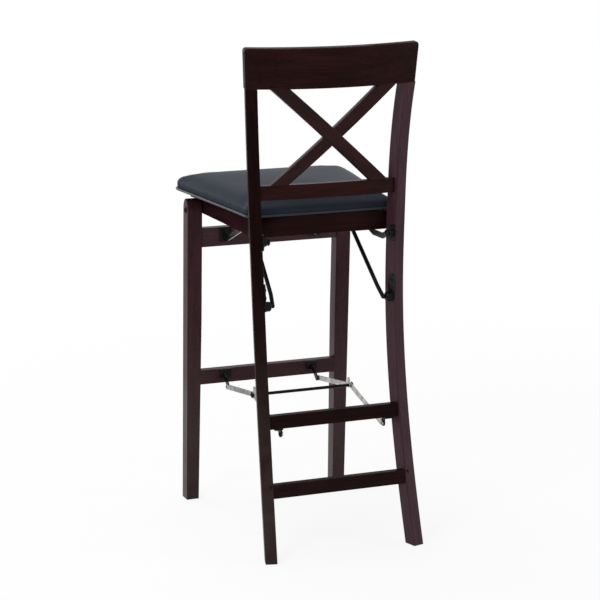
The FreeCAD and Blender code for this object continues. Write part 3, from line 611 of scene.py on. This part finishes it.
def close(work, mesh):
    """Turn the faces outward and write the work to a mesh."""
    bmesh.ops.recalc_face_normals(work, faces=work.faces)
    work.to_mesh(mesh)
    work.free()


def new_piece(name, verts, faces, smooth=True):
    """A mesh object at the origin with outward faces."""
    mesh = bpy.data.meshes.new(name)
    mesh.from_pydata([tuple(v) for v in verts], [], faces)
    close(opened(mesh), mesh)
    mesh.polygons.foreach_set("use_smooth", [smooth] * len(mesh.polygons))
    return placed(name, mesh)


def baked(piece, name):
    """The evaluated mesh of a piece, modifiers included, as a plain mesh; the modifiers go."""
    depsgraph = bpy.context.evaluated_depsgraph_get()
    mesh = bpy.data.meshes.new_from_object(piece.evaluated_get(depsgraph))
    mesh.name = name
    piece.modifiers.clear()
    piece.data = mesh
    return mesh


def sharp_from(mesh, degrees):
    """Shade a mesh smooth except across edges sharper than an angle."""
    mesh.polygons.foreach_set("use_smooth", [True] * len(mesh.polygons))
    mesh.set_sharp_from_angle(angle=math.radians(degrees))


def reworked(node, name, move):
    """A copy of a CAD piece whose points are moved by a rule."""
    mesh = bpy.data.meshes.new(name)
    work = opened(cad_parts[node].data)
    for vertex in work.verts:
        vertex.co = move(vertex.co)
    close(work, mesh)
    sharp_from(mesh, BOARD_SHARP)
    return placed(name, mesh)


def solids_of(node):
    """The points of each separate solid in a CAD node, as arrays."""
    work = opened(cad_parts[node].data)
    left = set(work.verts)
    found = []
    while left:
        stack = [left.pop()]
        island = []
        while stack:
            vertex = stack.pop()
            island.append(tuple(vertex.co))
            near = {edge.other_vert(vertex) for edge in vertex.link_edges} & left
            left -= near
            stack.extend(near)
        found.append(np.array(island))
    work.free()
    found.sort(key=lambda island: tuple(np.round(island.mean(0), 4)))
    return found


def strips(count, lines, closed=False):
    """Faces between neighbouring rings of points, and between the last and the first where it is closed."""
    faces = []
    for line in range(lines if closed else lines - 1):
        a = line * count
        b = (line + 1) % lines * count
        for i in range(count):
            j = (i + 1) % count
            faces.append((a + i, a + j, b + j, b + i))
    return faces


def centre_of(points):
    return sum(points, Vector((0, 0))) / len(points)


def ready(piece, body, material=None, replaced=()):
    """Give a finished piece its body and, where it has none yet, its material."""
    if material is not None:
        piece.data.materials.clear()
        piece.data.materials.append(material)
    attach(piece, body)
    if replaced:
        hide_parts(*replaced)


# The seat's rim.

def read_rim():
    """Points round the seat's rim, read from the CAD cushion, and how far each is along it."""
    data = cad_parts["seat_cushion"].data
    tree = BVHTree.FromPolygons([v.co for v in data.vertices], [p.vertices for p in data.polygons])
    middle = (SEAT_LOW + SEAT_HIGH) / 2
    centre = Vector((middle.x, middle.y, SEAT_LOW.z + RIM_LEVEL))
    reach = (SEAT_HIGH - SEAT_LOW).length
    rim = []
    for ray in range(RIM_RAYS):
        angle = 2 * math.pi * ray / RIM_RAYS
        out = Vector((math.cos(angle), math.sin(angle), 0))
        rim.append(tree.ray_cast(centre + out * reach, -out)[0].to_2d())
    lengths = [0.0]
    for here, there in zip(rim, rim[1:] + rim[:1]):
        lengths.append(lengths[-1] + (there - here).length)
    return rim, lengths


RIM, RIM_LENGTHS = read_rim()


def tangent_at(line, i):
    return (line[(i + 1) % len(line)] - line[i - 1]).normalized()


def pad_outline(inset, count):
    """Points round the seat's rim, evenly spaced and moved inward."""
    even = []
    for step in range(count):
        want = RIM_LENGTHS[-1] * step / count
        i = int(np.searchsorted(RIM_LENGTHS, want, side="right")) - 1
        part = (want - RIM_LENGTHS[i]) / (RIM_LENGTHS[i + 1] - RIM_LENGTHS[i])
        even.append(RIM[i % RIM_RAYS].lerp(RIM[(i + 1) % RIM_RAYS], part))
    moved = []
    for i, point in enumerate(even):
        tangent = tangent_at(even, i)
        moved.append(point + Vector((-tangent.y, tangent.x)) * inset)
    return moved


def fuller_outline(inset, count, seat):
    """The rim of the full pad, which stands a little outside the plain cushion but not towards the posts."""
    return [Vector((p.x * seat.wider, SEAT_HIGH.y + (p.y - SEAT_HIGH.y) * seat.longer))
            for p in pad_outline(inset, count)]


def edge_rise(y, seat):
    """How far the pad's round edge stands above its place at the rear, at a place front to back."""
    share = min(max((SEAT_HIGH.y - y) / (SEAT_HIGH.y - SEAT_LOW.y), 0.0), 1.0)
    return seat.front_rise * share ** RISE_CURVE


# The pad.

def crown_of(seat):
    """Height of the pad's middle above the foot of its round edge."""
    return seat.roll * (1 + math.sin(math.radians(ROLL_END))) + seat.dome


def crowned_pad(seat):
    """A closed pad with a round edge, tucked in to the board below and higher towards its front."""
    base = SEAT_LOW.z + UNDERSIDE_LIFT
    centre = centre_of(fuller_outline(seat.slack, PAD_POINTS, seat))
    lines = [[(p.x, p.y, base) for p in pad_outline(seat.tuck, PAD_POINTS)]]
    for angle in range(ROLL_START, ROLL_END + 1, ROLL_STEP):
        turn = math.radians(angle)
        line = fuller_outline(seat.slack + seat.roll * (1 - math.cos(turn)), PAD_POINTS, seat)
        lift = base + seat.roll * (1 + math.sin(turn))
        lines.append([(p.x, p.y, lift + edge_rise(p.y, seat)) for p in line])
    last = [Vector(point) for point in lines[-1]]
    for ring in range(1, PAD_RINGS):
        share = (ring / PAD_RINGS) ** RING_CROWDING
        swell = seat.dome * float(np.mean([1 - (1 - share) ** curve for curve in SWELL_CURVES]))
        line = []
        for point in last:
            flat = point.to_2d().lerp(centre, share)
            lift = point.z - edge_rise(point.y, seat)
            line.append((flat.x, flat.y, lift + edge_rise(flat.y, seat) + swell))
        lines.append(line)
    verts = [point for line in lines for point in line]
    top, bottom = len(verts), len(verts) + 1
    crown = base + edge_rise(centre.y, seat) + crown_of(seat)
    verts += [(centre.x, centre.y, crown), (centre.x, centre.y, base)]
    faces = strips(PAD_POINTS, len(lines))
    end = (len(lines) - 1) * PAD_POINTS
    for i in range(PAD_POINTS):
        j = (i + 1) % PAD_POINTS
        faces.append((end + i, end + j, top))
        faces.append((j, i, bottom))
    return new_piece("seat_pad", verts, faces)


def inflate(pad, seat):
    """Remesh the pad, press the foam against its cover, and keep the result."""
    remesh = pad.modifiers.new("cells", "REMESH")
    remesh.mode = "VOXEL"
    remesh.voxel_size = seat.voxel
    mesh = baked(pad, "seat_pad_cells")
    start = np.array([v.co for v in mesh.vertices])
    low = start[:, 2].min()
    held = pad.vertex_groups.new(name="held")
    firm = [i for i, co in enumerate(start) if co[2] < low + edge_rise(co[1], seat) + seat.piping]
    held.add(firm, 1.0, "REPLACE")
    cloth = pad.modifiers.new("cover", "CLOTH")
    cloth.settings.use_pressure = True
    cloth.settings.uniform_pressure_force = seat.pressure
    cloth.settings.effector_weights.gravity = 0.0
    cloth.settings.vertex_group_mass = "held"
    cloth.settings.quality = 5
    cloth.point_cache.frame_start = 1
    cloth.point_cache.frame_end = COVER_FRAMES
    for step in range(1, COVER_FRAMES + 1):
        bpy.context.scene.frame_set(step)
    mesh = baked(pad, "seat_pad_inflated")
    move = np.array([v.co for v in mesh.vertices]) - start
    length = np.linalg.norm(move, axis=1, keepdims=True)
    move *= np.minimum(1.0, seat.swell_limit / np.maximum(length, TINY))
    for vertex, co in zip(mesh.vertices, start + move):
        vertex.co = co
    bpy.context.scene.frame_set(1)
    pad.vertex_groups.clear()


def smooth_cover(mesh, seat):
    """Smooth the cover, apart from what is held at the board."""
    work = opened(mesh, merge=False)
    cover = [v for v in work.verts if v.co.z > SEAT_LOW.z + edge_rise(v.co.y, seat) + seat.piping]
    for _ in range(SMOOTHINGS):
        bmesh.ops.smooth_vert(work, verts=cover, factor=0.5, use_axis_x=True, use_axis_y=True,
                              use_axis_z=True)
    work.to_mesh(mesh)
    work.free()


def gather(co, corner, seat):
    """Pleat a point of the cover that is near a corner."""
    flat = co.to_2d()
    away = (flat - corner).length
    if away < PLEAT_REACH:
        arm = flat - corner * PLEAT_CENTRE
        wave = math.sin(math.atan2(arm.y, arm.x) * PLEATS_A_RADIAN)
        co.xy += arm.normalized() * (seat.pleat * (1 - away / PLEAT_REACH) ** 2 * wave)


def settle(pad, seat):
    """Smooth the cover, bring the crown to its height, gather the corners, and subdivide once."""
    mesh = pad.data
    smooth_cover(mesh, seat)
    heights = [v.co.z - SEAT_LOW.z - edge_rise(v.co.y, seat) for v in mesh.vertices]
    scale = (crown_of(seat) - seat.roll) / (max(heights) - seat.roll)
    rim = fuller_outline(0.0, PAD_POINTS, seat)
    corners = [max(rim, key=lambda p: sx * p.x + sy * p.y) for sx in (-1, 1) for sy in (-1, 1)]
    for vertex, height in zip(mesh.vertices, heights):
        if height > seat.roll:
            vertex.co.z += (height - seat.roll) * (scale - 1)
        if seat.piping < height < PLEAT_TOP * seat.roll:
            for corner in corners:
                gather(vertex.co, corner, seat)
    finer = pad.modifiers.new("finer", "SUBSURF")
    finer.levels = finer.render_levels = 1
    mesh = baked(pad, "seat_pad")
    mesh.polygons.foreach_set("use_smooth", [True] * len(mesh.polygons))


def tube_round(name, rim, heights, radius):
    """A closed round tube along a plan outline, at a height for each point."""
    verts = []
    for i, point in enumerate(rim):
        tangent = tangent_at(rim, i)
        out = Vector((tangent.y, -tangent.x))
        for k in range(PIPING_SIDES):
            angle = 2 * math.pi * k / PIPING_SIDES
            flat = point + out * (radius * math.cos(angle))
            verts.append((flat.x, flat.y, heights[i] + radius * math.sin(angle)))
    return new_piece(name, verts, strips(PIPING_SIDES, len(rim), closed=True))


# Geometry node trees.

def geometry_tree(name, inputs):
    """A geometry node group that takes and gives a mesh, with named inputs for its sizes and its finish."""
    return new_group(name, "GeometryNodeTree", {"Geometry": "Geometry", **inputs, "Finish": "Material"},
                     {"Geometry": "Geometry"})


def finish_tree(tree, given, sink, geometry):
    """End a tree with real geometry in the finish that the tree is given."""
    real = put(tree, "GeometryNodeRealizeInstances", {"Geometry": geometry})
    done = put(tree, "GeometryNodeSetMaterial", {"Geometry": real[0], "Material": given["Finish"]})
    sink.feed({"Geometry": done[0]})
    return tree


def facing_of(tree):
    """The direction that every point was given."""
    return put(tree, "GeometryNodeInputNamedAttribute", {"Name": "facing"}, data_type="FLOAT_VECTOR")[0]


def set_on_points(tree, given, piece, axis, about, least, most):
    """A piece on every point, with an axis along the point's facing, turned by a random angle."""
    aligned = put(tree, "FunctionNodeAlignEulerToVector", {"Vector": facing_of(tree)}, axis=axis)
    angle = put(tree, "FunctionNodeRandomValue", {2: least, 3: most, "Seed": given["Seed"]},
                data_type="FLOAT")
    turned = put(tree, "FunctionNodeRotateEuler", {"Rotation": aligned[0], "Axis": about, "Angle": angle[1]},
                 rotation_type="AXIS_ANGLE")
    return put(tree, "GeometryNodeInstanceOnPoints", {"Points": given["Geometry"], "Instance": piece,
                                                      "Rotation": turned[0]})[0]


def screw_tree():
    """Puts a domed head with a cross recess on every point, along the point's own direction."""
    tree, given, sink = geometry_tree("cross_head_screws", {
        "Head Radius": 0.0036, "Head Height": 0.0019, "Recess Width": 0.0009, "Seed": 3})
    radius, height, recess = given["Head Radius"], given["Head Height"], given["Recess Width"]
    dome_curve, dome_drop, recess_reach = 2.4, 0.62, 1.15
    blank = put(tree, "GeometryNodeMeshCylinder", {"Vertices": 32, "Side Segments": 2, "Fill Segments": 5,
                                                   "Radius": radius, "Depth": height})
    place = put(tree, "GeometryNodeInputPosition")[0].parts()
    away = vector_of(tree, place["X"], place["Y"]).length()
    droop = (away / radius).math("POWER", dome_curve) * (height * -dome_drop)
    shift = vector_of(tree, z=droop * place["Z"].math("GREATER_THAN", 0.0))
    domed = put(tree, "GeometryNodeSetPosition", {"Geometry": blank["Mesh"], "Offset": shift})
    seated = put(tree, "GeometryNodeTransform", {"Geometry": domed[0],
                                                 "Translation": vector_of(tree, z=height * 0.5)})
    cut = put(tree, "GeometryNodeMeshBoolean", {"Mesh 1": seated[0]}, operation="DIFFERENCE")
    long_side = radius * recess_reach
    for x, y in ((long_side, recess), (recess, long_side)):
        bar = put(tree, "GeometryNodeMeshCube", {"Size": vector_of(tree, x, y, height)})
        raised = put(tree, "GeometryNodeTransform", {"Geometry": bar["Mesh"],
                                                     "Translation": vector_of(tree, z=height)})
        cut.feed({"Mesh 2": raised[0]})
    heads = set_on_points(tree, given, cut["Mesh"], "Z", about=facing_of(tree), least=0.0, most=QUARTER_TURN)
    return finish_tree(tree, given, sink, heads)


def staple_tree():
    """Lays a wire staple on every point, along the point's own direction, a little unevenly."""
    tree, given, sink = geometry_tree("staple_row", {
        "Width": 0.010, "Wire": 0.0009, "Uneven": 0.16, "Seed": 7})
    half = given["Width"] * 0.5
    crown = put(tree, "GeometryNodeCurvePrimitiveLine", {"Start": vector_of(tree, half * -1.0),
                                                         "End": vector_of(tree, half)})
    section = put(tree, "GeometryNodeCurvePrimitiveCircle", {"Resolution": 8, "Radius": given["Wire"] * 0.5})
    wire = put(tree, "GeometryNodeCurveToMesh", {"Curve": crown[0], "Profile Curve": section["Curve"],
                                                 "Fill Caps": True})
    row = set_on_points(tree, given, wire[0], "X", about=UP, least=given["Uneven"] * -1.0,
                        most=given["Uneven"])
    return finish_tree(tree, given, sink, row)


def slat_tree():
    """A rounded slat with level ends that leans across the back and follows its bow."""
    tree, given, sink = geometry_tree("leaning_slat", {
        "Width": 0.028, "Thickness": 0.013, "Edge": 0.0015, "Foot": "Vector", "Top": "Vector",
        "Middle Depth": 0.2})
    foot, top = given["Foot"].parts(), given["Top"].parts()
    height = top["Z"] - foot["Z"]
    across = top["X"] - foot["X"]
    lean = across / height
    slope = (lean * lean + 1.0).math("SQRT")
    line = put(tree, "GeometryNodeCurvePrimitiveLine", {"End": vector_of(tree, z=height)})
    steps = put(tree, "GeometryNodeResampleCurve", {"Curve": line[0], "Count": 40})
    section = put(tree, "GeometryNodeCurvePrimitiveQuadrilateral", {"Width": given["Width"] * slope,
                                                                    "Height": given["Thickness"]})
    rounded = put(tree, "GeometryNodeFilletCurve", {"Curve": section[0], "Count": 4, "Radius": given["Edge"]},
                  mode="POLY")
    upright = put(tree, "GeometryNodeCurveToMesh", {"Curve": steps[0], "Profile Curve": rounded[0],
                                                    "Fill Caps": True})
    share = put(tree, "GeometryNodeInputPosition")[0].parts()["Z"] / height
    rest = 1.0 - share
    bow = given["Middle Depth"] - (foot["Y"] + top["Y"]) * 0.5
    # This bend is 1 at the middle and 0 at both ends.
    bend = share * rest * 4.0
    depth = foot["Y"] * rest + top["Y"] * share + bend * bow
    shift = vector_of(tree, foot["X"] + across * share, depth, foot["Z"])
    leaning = put(tree, "GeometryNodeSetPosition", {"Geometry": upright[0], "Offset": shift})
    return finish_tree(tree, given, sink, leaning[0])


def grown(name, places, facings, tree, sizes):
    """Run a geometry node tree on points with directions, and keep the plain mesh."""
    mesh = bpy.data.meshes.new(name)
    mesh.from_pydata([tuple(p) for p in places], [], [])
    facing = mesh.attributes.new("facing", "FLOAT_VECTOR", "POINT")
    facing.data.foreach_set("vector", [c for f in facings for c in f])
    piece = placed(name, mesh)
    modifier = piece.modifiers.new("grow", "NODES")
    modifier.node_group = tree
    for item in tree.interface.items_tree:
        if item.in_out == "INPUT" and item.name in sizes:
            modifier[item.identifier] = sizes[item.name]
    result = baked(piece, name)
    close(opened(result, merge=False), result)
    return piece


# Operators.

class STOOL_OT_wood(bpy.types.Operator):
    """Stain every wooden piece, with its grain along its length"""
    bl_idname = "stool.wood"
    bl_label = "Stain the Wood"

    def execute(self, context):
        low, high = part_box("cross_slat_outer")
        lean = math.atan2(high.z - low.z, high.x - low.x)
        turns = {"across": (0, 0, 0), "deep": (0, 0, QUARTER_TURN), "upright": (0, QUARTER_TURN, 0),
                 "rising": (0, lean, 0), "falling": (0, -lean, 0)}
        chance = random.Random(GRAIN_SEED)
        for name, board in BOARDS.items():
            start = tuple(chance.uniform(-GRAIN_START, GRAIN_START) for _ in range(3))
            tone = chance.uniform(*GRAIN_TONE)
            dress([name], espresso_wood("espresso_" + name, turns[board.grain], start, tone, board,
                                        context.scene.stool_wood))
        return {"FINISHED"}


class STOOL_OT_boards(bpy.types.Operator):
    """Shape the crest, the slats, the rear rail and the front legs' tops as the real ones are"""
    bl_idname = "stool.boards"
    bl_label = "Shape the Boards"

    def execute(self, context):
        wood = context.scene.stool_wood
        low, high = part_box("seat_rear_rail")

        def narrower(co):
            return Vector((co.x * wood.crest_narrower, co.y, co.z))

        def deeper(co):
            return Vector((co.x, co.y, co.z - wood.rear_rail_drop * (high.z - co.z) / (high.z - low.z)))

        self.reshape("crest_rail", "crest_board", "back_frame", narrower)
        self.reshape("seat_rear_rail", "seat_rear_board", "seat", deeper)
        for side in SIDES:
            node = "front_leg_" + side
            self.reshape(node, node + "_board", "front_frame", self.raised_top(node, wood))
        self.slats(wood)
        return {"FINISHED"}

    def reshape(self, node, name, body, move):
        finish = bpy.data.materials["espresso_" + node]
        ready(reworked(node, name, move), body, finish, [node])

    def raised_top(self, node, wood):
        """A rule that raises the points of a leg's round top, but not those of the bolt's bore."""
        pivot = sum(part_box("leg_bolts"), Vector()) / 2
        leg_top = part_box(node)[1].z

        def raised(co):
            away = math.hypot(co.y - pivot.y, co.z - pivot.z)
            share = max(0.0, (co.z - pivot.z) / (leg_top - pivot.z)) if away > BOLT_BORE else 0.0
            return Vector((co.x, co.y, co.z + wood.leg_top_rise * share))

        return raised

    def slats(self, wood):
        foot_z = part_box("lower_back_rail")[1].z - SLAT_FOOT_SUNK
        top_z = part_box("cross_slat_outer")[1].z + SLAT_TOP_SUNK
        tree = slat_tree()
        for node, side in SLATS.items():
            lap = side * SLAT_LAP
            slat = grown(node + "_board", [(0.0, 0.0, 0.0)], [UP], tree, {
                "Width": wood.slat_width, "Thickness": wood.slat_thickness, "Edge": wood.slat_edge,
                "Foot": (-side * wood.slat_low_x, wood.slat_low_y + lap, foot_z),
                "Top": (side * wood.slat_top_x, wood.slat_top_y + lap, top_z),
                "Middle Depth": wood.slat_middle_y + lap, "Finish": bpy.data.materials["espresso_" + node]})
            sharp_from(slat.data, SLAT_SHARP)
            ready(slat, "back_frame", None, [node])


class STOOL_OT_steel(bpy.types.Operator):
    """Finish the brackets, rods, links and pins"""
    bl_idname = "stool.steel"
    bl_label = "Finish the Steel"

    def execute(self, context):
        steel = context.scene.stool_steel
        black, zinc = ([f"{name}_{side}" for name in names for side in SIDES]
                       for names in (BLACK_STEEL, ZINC_STEEL))
        dress(black + ["cross_rod"], enamelled_steel(steel))
        dress(zinc, zinc_plated(steel))
        dress(FASTENERS, black_oxide(steel))
        return {"FINISHED"}


class STOOL_OT_cushion(bpy.types.Operator):
    """Make the padded vinyl seat and its piping"""
    bl_idname = "stool.cushion"
    bl_label = "Pad the Seat"

    def execute(self, context):
        seat = context.scene.stool_seat
        pad = crowned_pad(seat)
        inflate(pad, seat)
        settle(pad, seat)
        vinyl = smooth_vinyl("seat_vinyl", seat, roughness=0.40, shine=0.016)
        ready(pad, "seat", vinyl, ["seat_cushion"])
        line = fuller_outline(2 * seat.piping, PIPING_POINTS, seat)
        heights = [SEAT_LOW.z + edge_rise(point.y, seat) + seat.piping for point in line]
        piping = tube_round("seat_piping", line, heights, seat.piping)
        ready(piping, "seat", smooth_vinyl("piping_vinyl", seat, roughness=0.36, shine=0.22))
        return {"FINISHED"}


class STOOL_OT_underside(bpy.types.Operator):
    """Draw in the board, turn the cover under it and staple it"""
    bl_idname = "stool.underside"
    bl_label = "Finish the Underside"

    def execute(self, context):
        seat = context.scene.stool_seat
        low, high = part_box("seat_board")
        middle = (low + high) / 2

        def drawn_in(co):
            """The board ends where the cover meets it, inside the pad's raised edge."""
            return Vector((middle.x + (co.x - middle.x) * seat.board_share,
                           middle.y + (co.y - middle.y) * seat.board_share, co.z))

        board = reworked("seat_board", "plywood_board", drawn_in)
        ready(board, "seat", raw_plywood(seat), ["seat_board"])
        under = low.z - HEM_BELOW
        self.hem(seat, under, low.z + HEM_ABOVE)
        self.staples(seat, under)
        return {"FINISHED"}

    def hem(self, seat, under, over):
        """The band of cover under the board, with a ragged inner edge."""
        chance = random.Random(seat.staple_seed)
        outer = pad_outline(seat.tuck - HEM_LAP, HEM_POINTS)
        ragged = [chance.uniform(-1, 1) * HEM_RAGGED for _ in range(HEM_POINTS)]
        centre = centre_of(outer)
        inner = [p + (centre - p).normalized() * rag
                 for p, rag in zip(pad_outline(seat.tuck + seat.hem, HEM_POINTS), ragged)]
        rings = ((outer, over), (outer, under), (inner, under), (inner, over))
        verts = [(p.x, p.y, z) for line, z in rings for p in line]
        hem = new_piece("seat_hem", verts, strips(HEM_POINTS, len(rings), closed=True), smooth=False)
        ready(hem, "seat", smooth_vinyl("hem_vinyl", seat, roughness=0.5, shine=0.1))

    def staples(self, seat, under):
        """A row of staples in the hem, where no rail or channel lies on it."""
        names = ["seat_side_rail_left", "seat_side_rail_right", "seat_front_rail", "seat_rear_rail",
                 "slide_channel_left", "slide_channel_right"]
        grow = Vector((RAIL_CLEARANCE, RAIL_CLEARANCE, 0))
        rails = [(low - grow, high + grow) for low, high in map(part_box, names)]
        line = pad_outline(seat.tuck + STAPLE_LINE * seat.hem, STAPLE_LINE_POINTS)
        perimeter = sum((a - b).length for a, b in zip(line, line[1:] + line[:1]))
        number = int(perimeter / seat.staple_gap)
        places, facings = [], []
        for k in range(number):
            i = int(k * STAPLE_LINE_POINTS / number)
            point = line[i]
            if not any(low.x < point.x < high.x and low.y < point.y < high.y for low, high in rails):
                places.append((point.x, point.y, under))
                facings.append(tangent_at(line, i).to_3d())
        staples = grown("seat_staples", places, facings, staple_tree(),
                        {"Width": seat.staple_width, "Wire": seat.staple_wire, "Seed": seat.staple_seed,
                         "Finish": staple_wire(seat)})
        ready(staples, "seat")


class STOOL_OT_screws(bpy.types.Operator):
    """Drive the screws that hold the brackets and the slide channels"""
    bl_idname = "stool.screws"
    bl_label = "Drive the Screws"

    def execute(self, context):
        steel = context.scene.stool_steel
        tree = screw_tree()

        def drive(name, body, places, facings, radius, replaced=()):
            piece = grown(name, places, facings, tree, {
                "Head Radius": radius, "Head Height": steel.screw_height, "Recess Width": steel.screw_slot,
                "Finish": bpy.data.materials["black_oxide"]})
            ready(piece, body, None, replaced)

        jobs = [("strut_bracket_screws", "back_frame", lambda c: (-math.copysign(1, c[0]), 0, 0)),
                ("front_bracket_screws", "front_frame", lambda c: (0, 1, 0))]
        for node, body, towards in jobs:
            places, facings, radius = self.plain_heads(node, towards)
            drive("cross_" + node, body, places, facings, radius, [node])

        plates, channels = [], []
        for side in SIDES:
            low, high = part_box("rear_link_bracket_" + side)
            outer = high.x if side == "left" else low.x
            plates.append((outer - math.copysign(PLATE_EDGE, outer), (low.y + high.y) / 2 + PLATE_FORWARD,
                           high.z - STEEL_THICKNESS))
            low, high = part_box("slide_channel_" + side)
            for share in CHANNEL_SHARES:
                along = low.y + (high.y - low.y) * share
                channels.append(((low.x + high.x) / 2, along, high.z - STEEL_THICKNESS))
        drive("rear_bracket_screws", "back_frame", plates, [-UP] * len(plates), radius)
        drive("channel_screws", "seat", channels, [-UP] * len(channels), radius)
        return {"FINISHED"}

    def plain_heads(self, node, towards):
        """Where each plain head of a node stands, which way it points, and how wide it is."""
        places, facings = [], []
        for island in solids_of(node):
            centre = island.mean(0)
            around = island - centre
            axis = np.linalg.svd(around)[2][2]
            if np.dot(axis, towards(centre)) < 0:
                axis = -axis
            places.append(centre + axis * (around @ axis).min())
            facings.append(axis)
        radius = max(np.linalg.norm(around - np.outer(around @ axis, axis), axis=1))
        return places, facings, float(radius)


class STOOL_OT_stage(bpy.types.Operator):
    """Set up the floor, the backdrop, the lamps and the camera"""
    bl_idname = "stool.stage"
    bl_label = "Set the Stage"

    def execute(self, context):
        settings = context.scene.stool_stage
        self.floor(settings)
        self.world(context.scene, settings)
        for name, lamp in LAMPS.items():
            self.softbox(name, lamp)
        self.camera(context.scene, settings)
        context.scene.view_settings.view_transform = "Standard"
        return {"FINISHED"}

    def shown(self, tree):
        """1 where the camera sees a surface, straight, mirrored or through glass, and 0 for light."""
        path = put(tree, "ShaderNodeLightPath")
        seen = path["Is Camera Ray"].math("MAXIMUM", path["Is Glossy Ray"])
        return seen.math("MAXIMUM", path["Is Transmission Ray"])

    def floor(self, settings):
        corners = [(x * FLOOR_HALF, y * FLOOR_HALF, 0) for x, y in ((-1, -1), (1, -1), (1, 1), (-1, 1))]
        floor = new_piece("floor", corners, [(0, 1, 2, 3)], smooth=False)
        material, shader, place = new_material("pale_floor")
        tree = shader.tree
        shader.feed({"Base Color": settings.floor_colour, "Roughness": 0.9, "Specular IOR Level": 0.0})
        glow = put(tree, "ShaderNodeEmission", {"Color": WHITE, "Strength": settings.background})
        share = self.shown(tree) * place["Object"].length().between(low=0.5, high=2.6, to_low=0.86)
        mix = put(tree, "ShaderNodeMixShader", {0: share, 1: shader[0], 2: glow[0]})
        output = next(node for node in tree.nodes if node.type == "OUTPUT_MATERIAL")
        Node(tree, output).feed({"Surface": mix[0]})
        floor.data.materials.append(material)

    def world(self, scene, settings):
        scene.world = bpy.data.worlds.new("studio")
        scene.world.use_nodes = True
        tree = scene.world.node_tree
        tree.nodes.clear()
        strength = self.shown(tree).between(low=0.0, high=1.0, to_low=settings.fill,
                                            to_high=settings.background)
        sky = put(tree, "ShaderNodeBackground", {"Color": WHITE, "Strength": strength})
        put(tree, "ShaderNodeOutputWorld", {"Surface": sky[0]})

    def softbox(self, name, lamp):
        light = bpy.data.lights.new(name, "AREA")
        light.shape = "RECTANGLE"
        light.size, light.size_y = lamp.size
        light.energy = lamp.power
        box = placed(name, light)
        box.location = lamp.place
        box.rotation_euler = (Vector(lamp.target) - Vector(lamp.place)).to_track_quat("-Z", "Y").to_euler()

    def camera(self, scene, settings):
        azimuth, elevation, roll = settings.camera_azimuth, settings.camera_elevation, settings.camera_roll
        back = Vector((math.sin(azimuth) * math.cos(elevation), math.cos(azimuth) * math.cos(elevation),
                       math.sin(elevation)))
        level = (-back).cross(UP).normalized()
        rise = level.cross(-back)
        right = level * math.cos(roll) + rise * math.sin(roll)
        up = rise * math.cos(roll) - level * math.sin(roll)
        turn = Matrix((right, up, back)).transposed().to_4x4()
        data = bpy.data.cameras.new("photo_camera")
        data.lens = settings.camera_lens
        data.sensor_width = settings.camera_sensor
        camera = placed("photo_camera", data)
        camera.matrix_world = Matrix.Translation(settings.camera_place) @ turn
        scene.camera = camera


class STOOL_PT_sidebar(bpy.types.Panel):
    """Lists what the stool's finish is made of"""
    bl_idname = "STOOL_PT_sidebar"
    bl_label = "Folding Bar Stool"
    bl_space_type = "VIEW_3D"
    bl_region_type = "UI"
    bl_category = "Stool"

    def draw(self, context):
        column = self.layout.column(align=True)
        for operator in OPERATORS:
            column.operator(operator.bl_idname)


SETTINGS = {"stool_wood": StoolWoodSettings, "stool_steel": StoolSteelSettings,
            "stool_seat": StoolSeatSettings, "stool_stage": StoolStageSettings}
OPERATORS = [STOOL_OT_stage, STOOL_OT_wood, STOOL_OT_boards, STOOL_OT_steel, STOOL_OT_cushion,
             STOOL_OT_underside, STOOL_OT_screws]


def register():
    for cls in list(SETTINGS.values()) + OPERATORS + [STOOL_PT_sidebar]:
        bpy.utils.register_class(cls)
    for name, cls in SETTINGS.items():
        setattr(bpy.types.Scene, name, PointerProperty(type=cls))


def unregister():
    for name in SETTINGS:
        delattr(bpy.types.Scene, name)
    for cls in [STOOL_PT_sidebar] + OPERATORS[::-1] + list(SETTINGS.values())[::-1]:
        bpy.utils.unregister_class(cls)


def main():
    register()
    bpy.ops.stool.stage()
    bpy.ops.stool.wood()
    bpy.ops.stool.boards()
    bpy.ops.stool.steel()
    bpy.ops.stool.cushion()
    bpy.ops.stool.underside()
    bpy.ops.stool.screws()


if __name__ == "__main__":
    main()
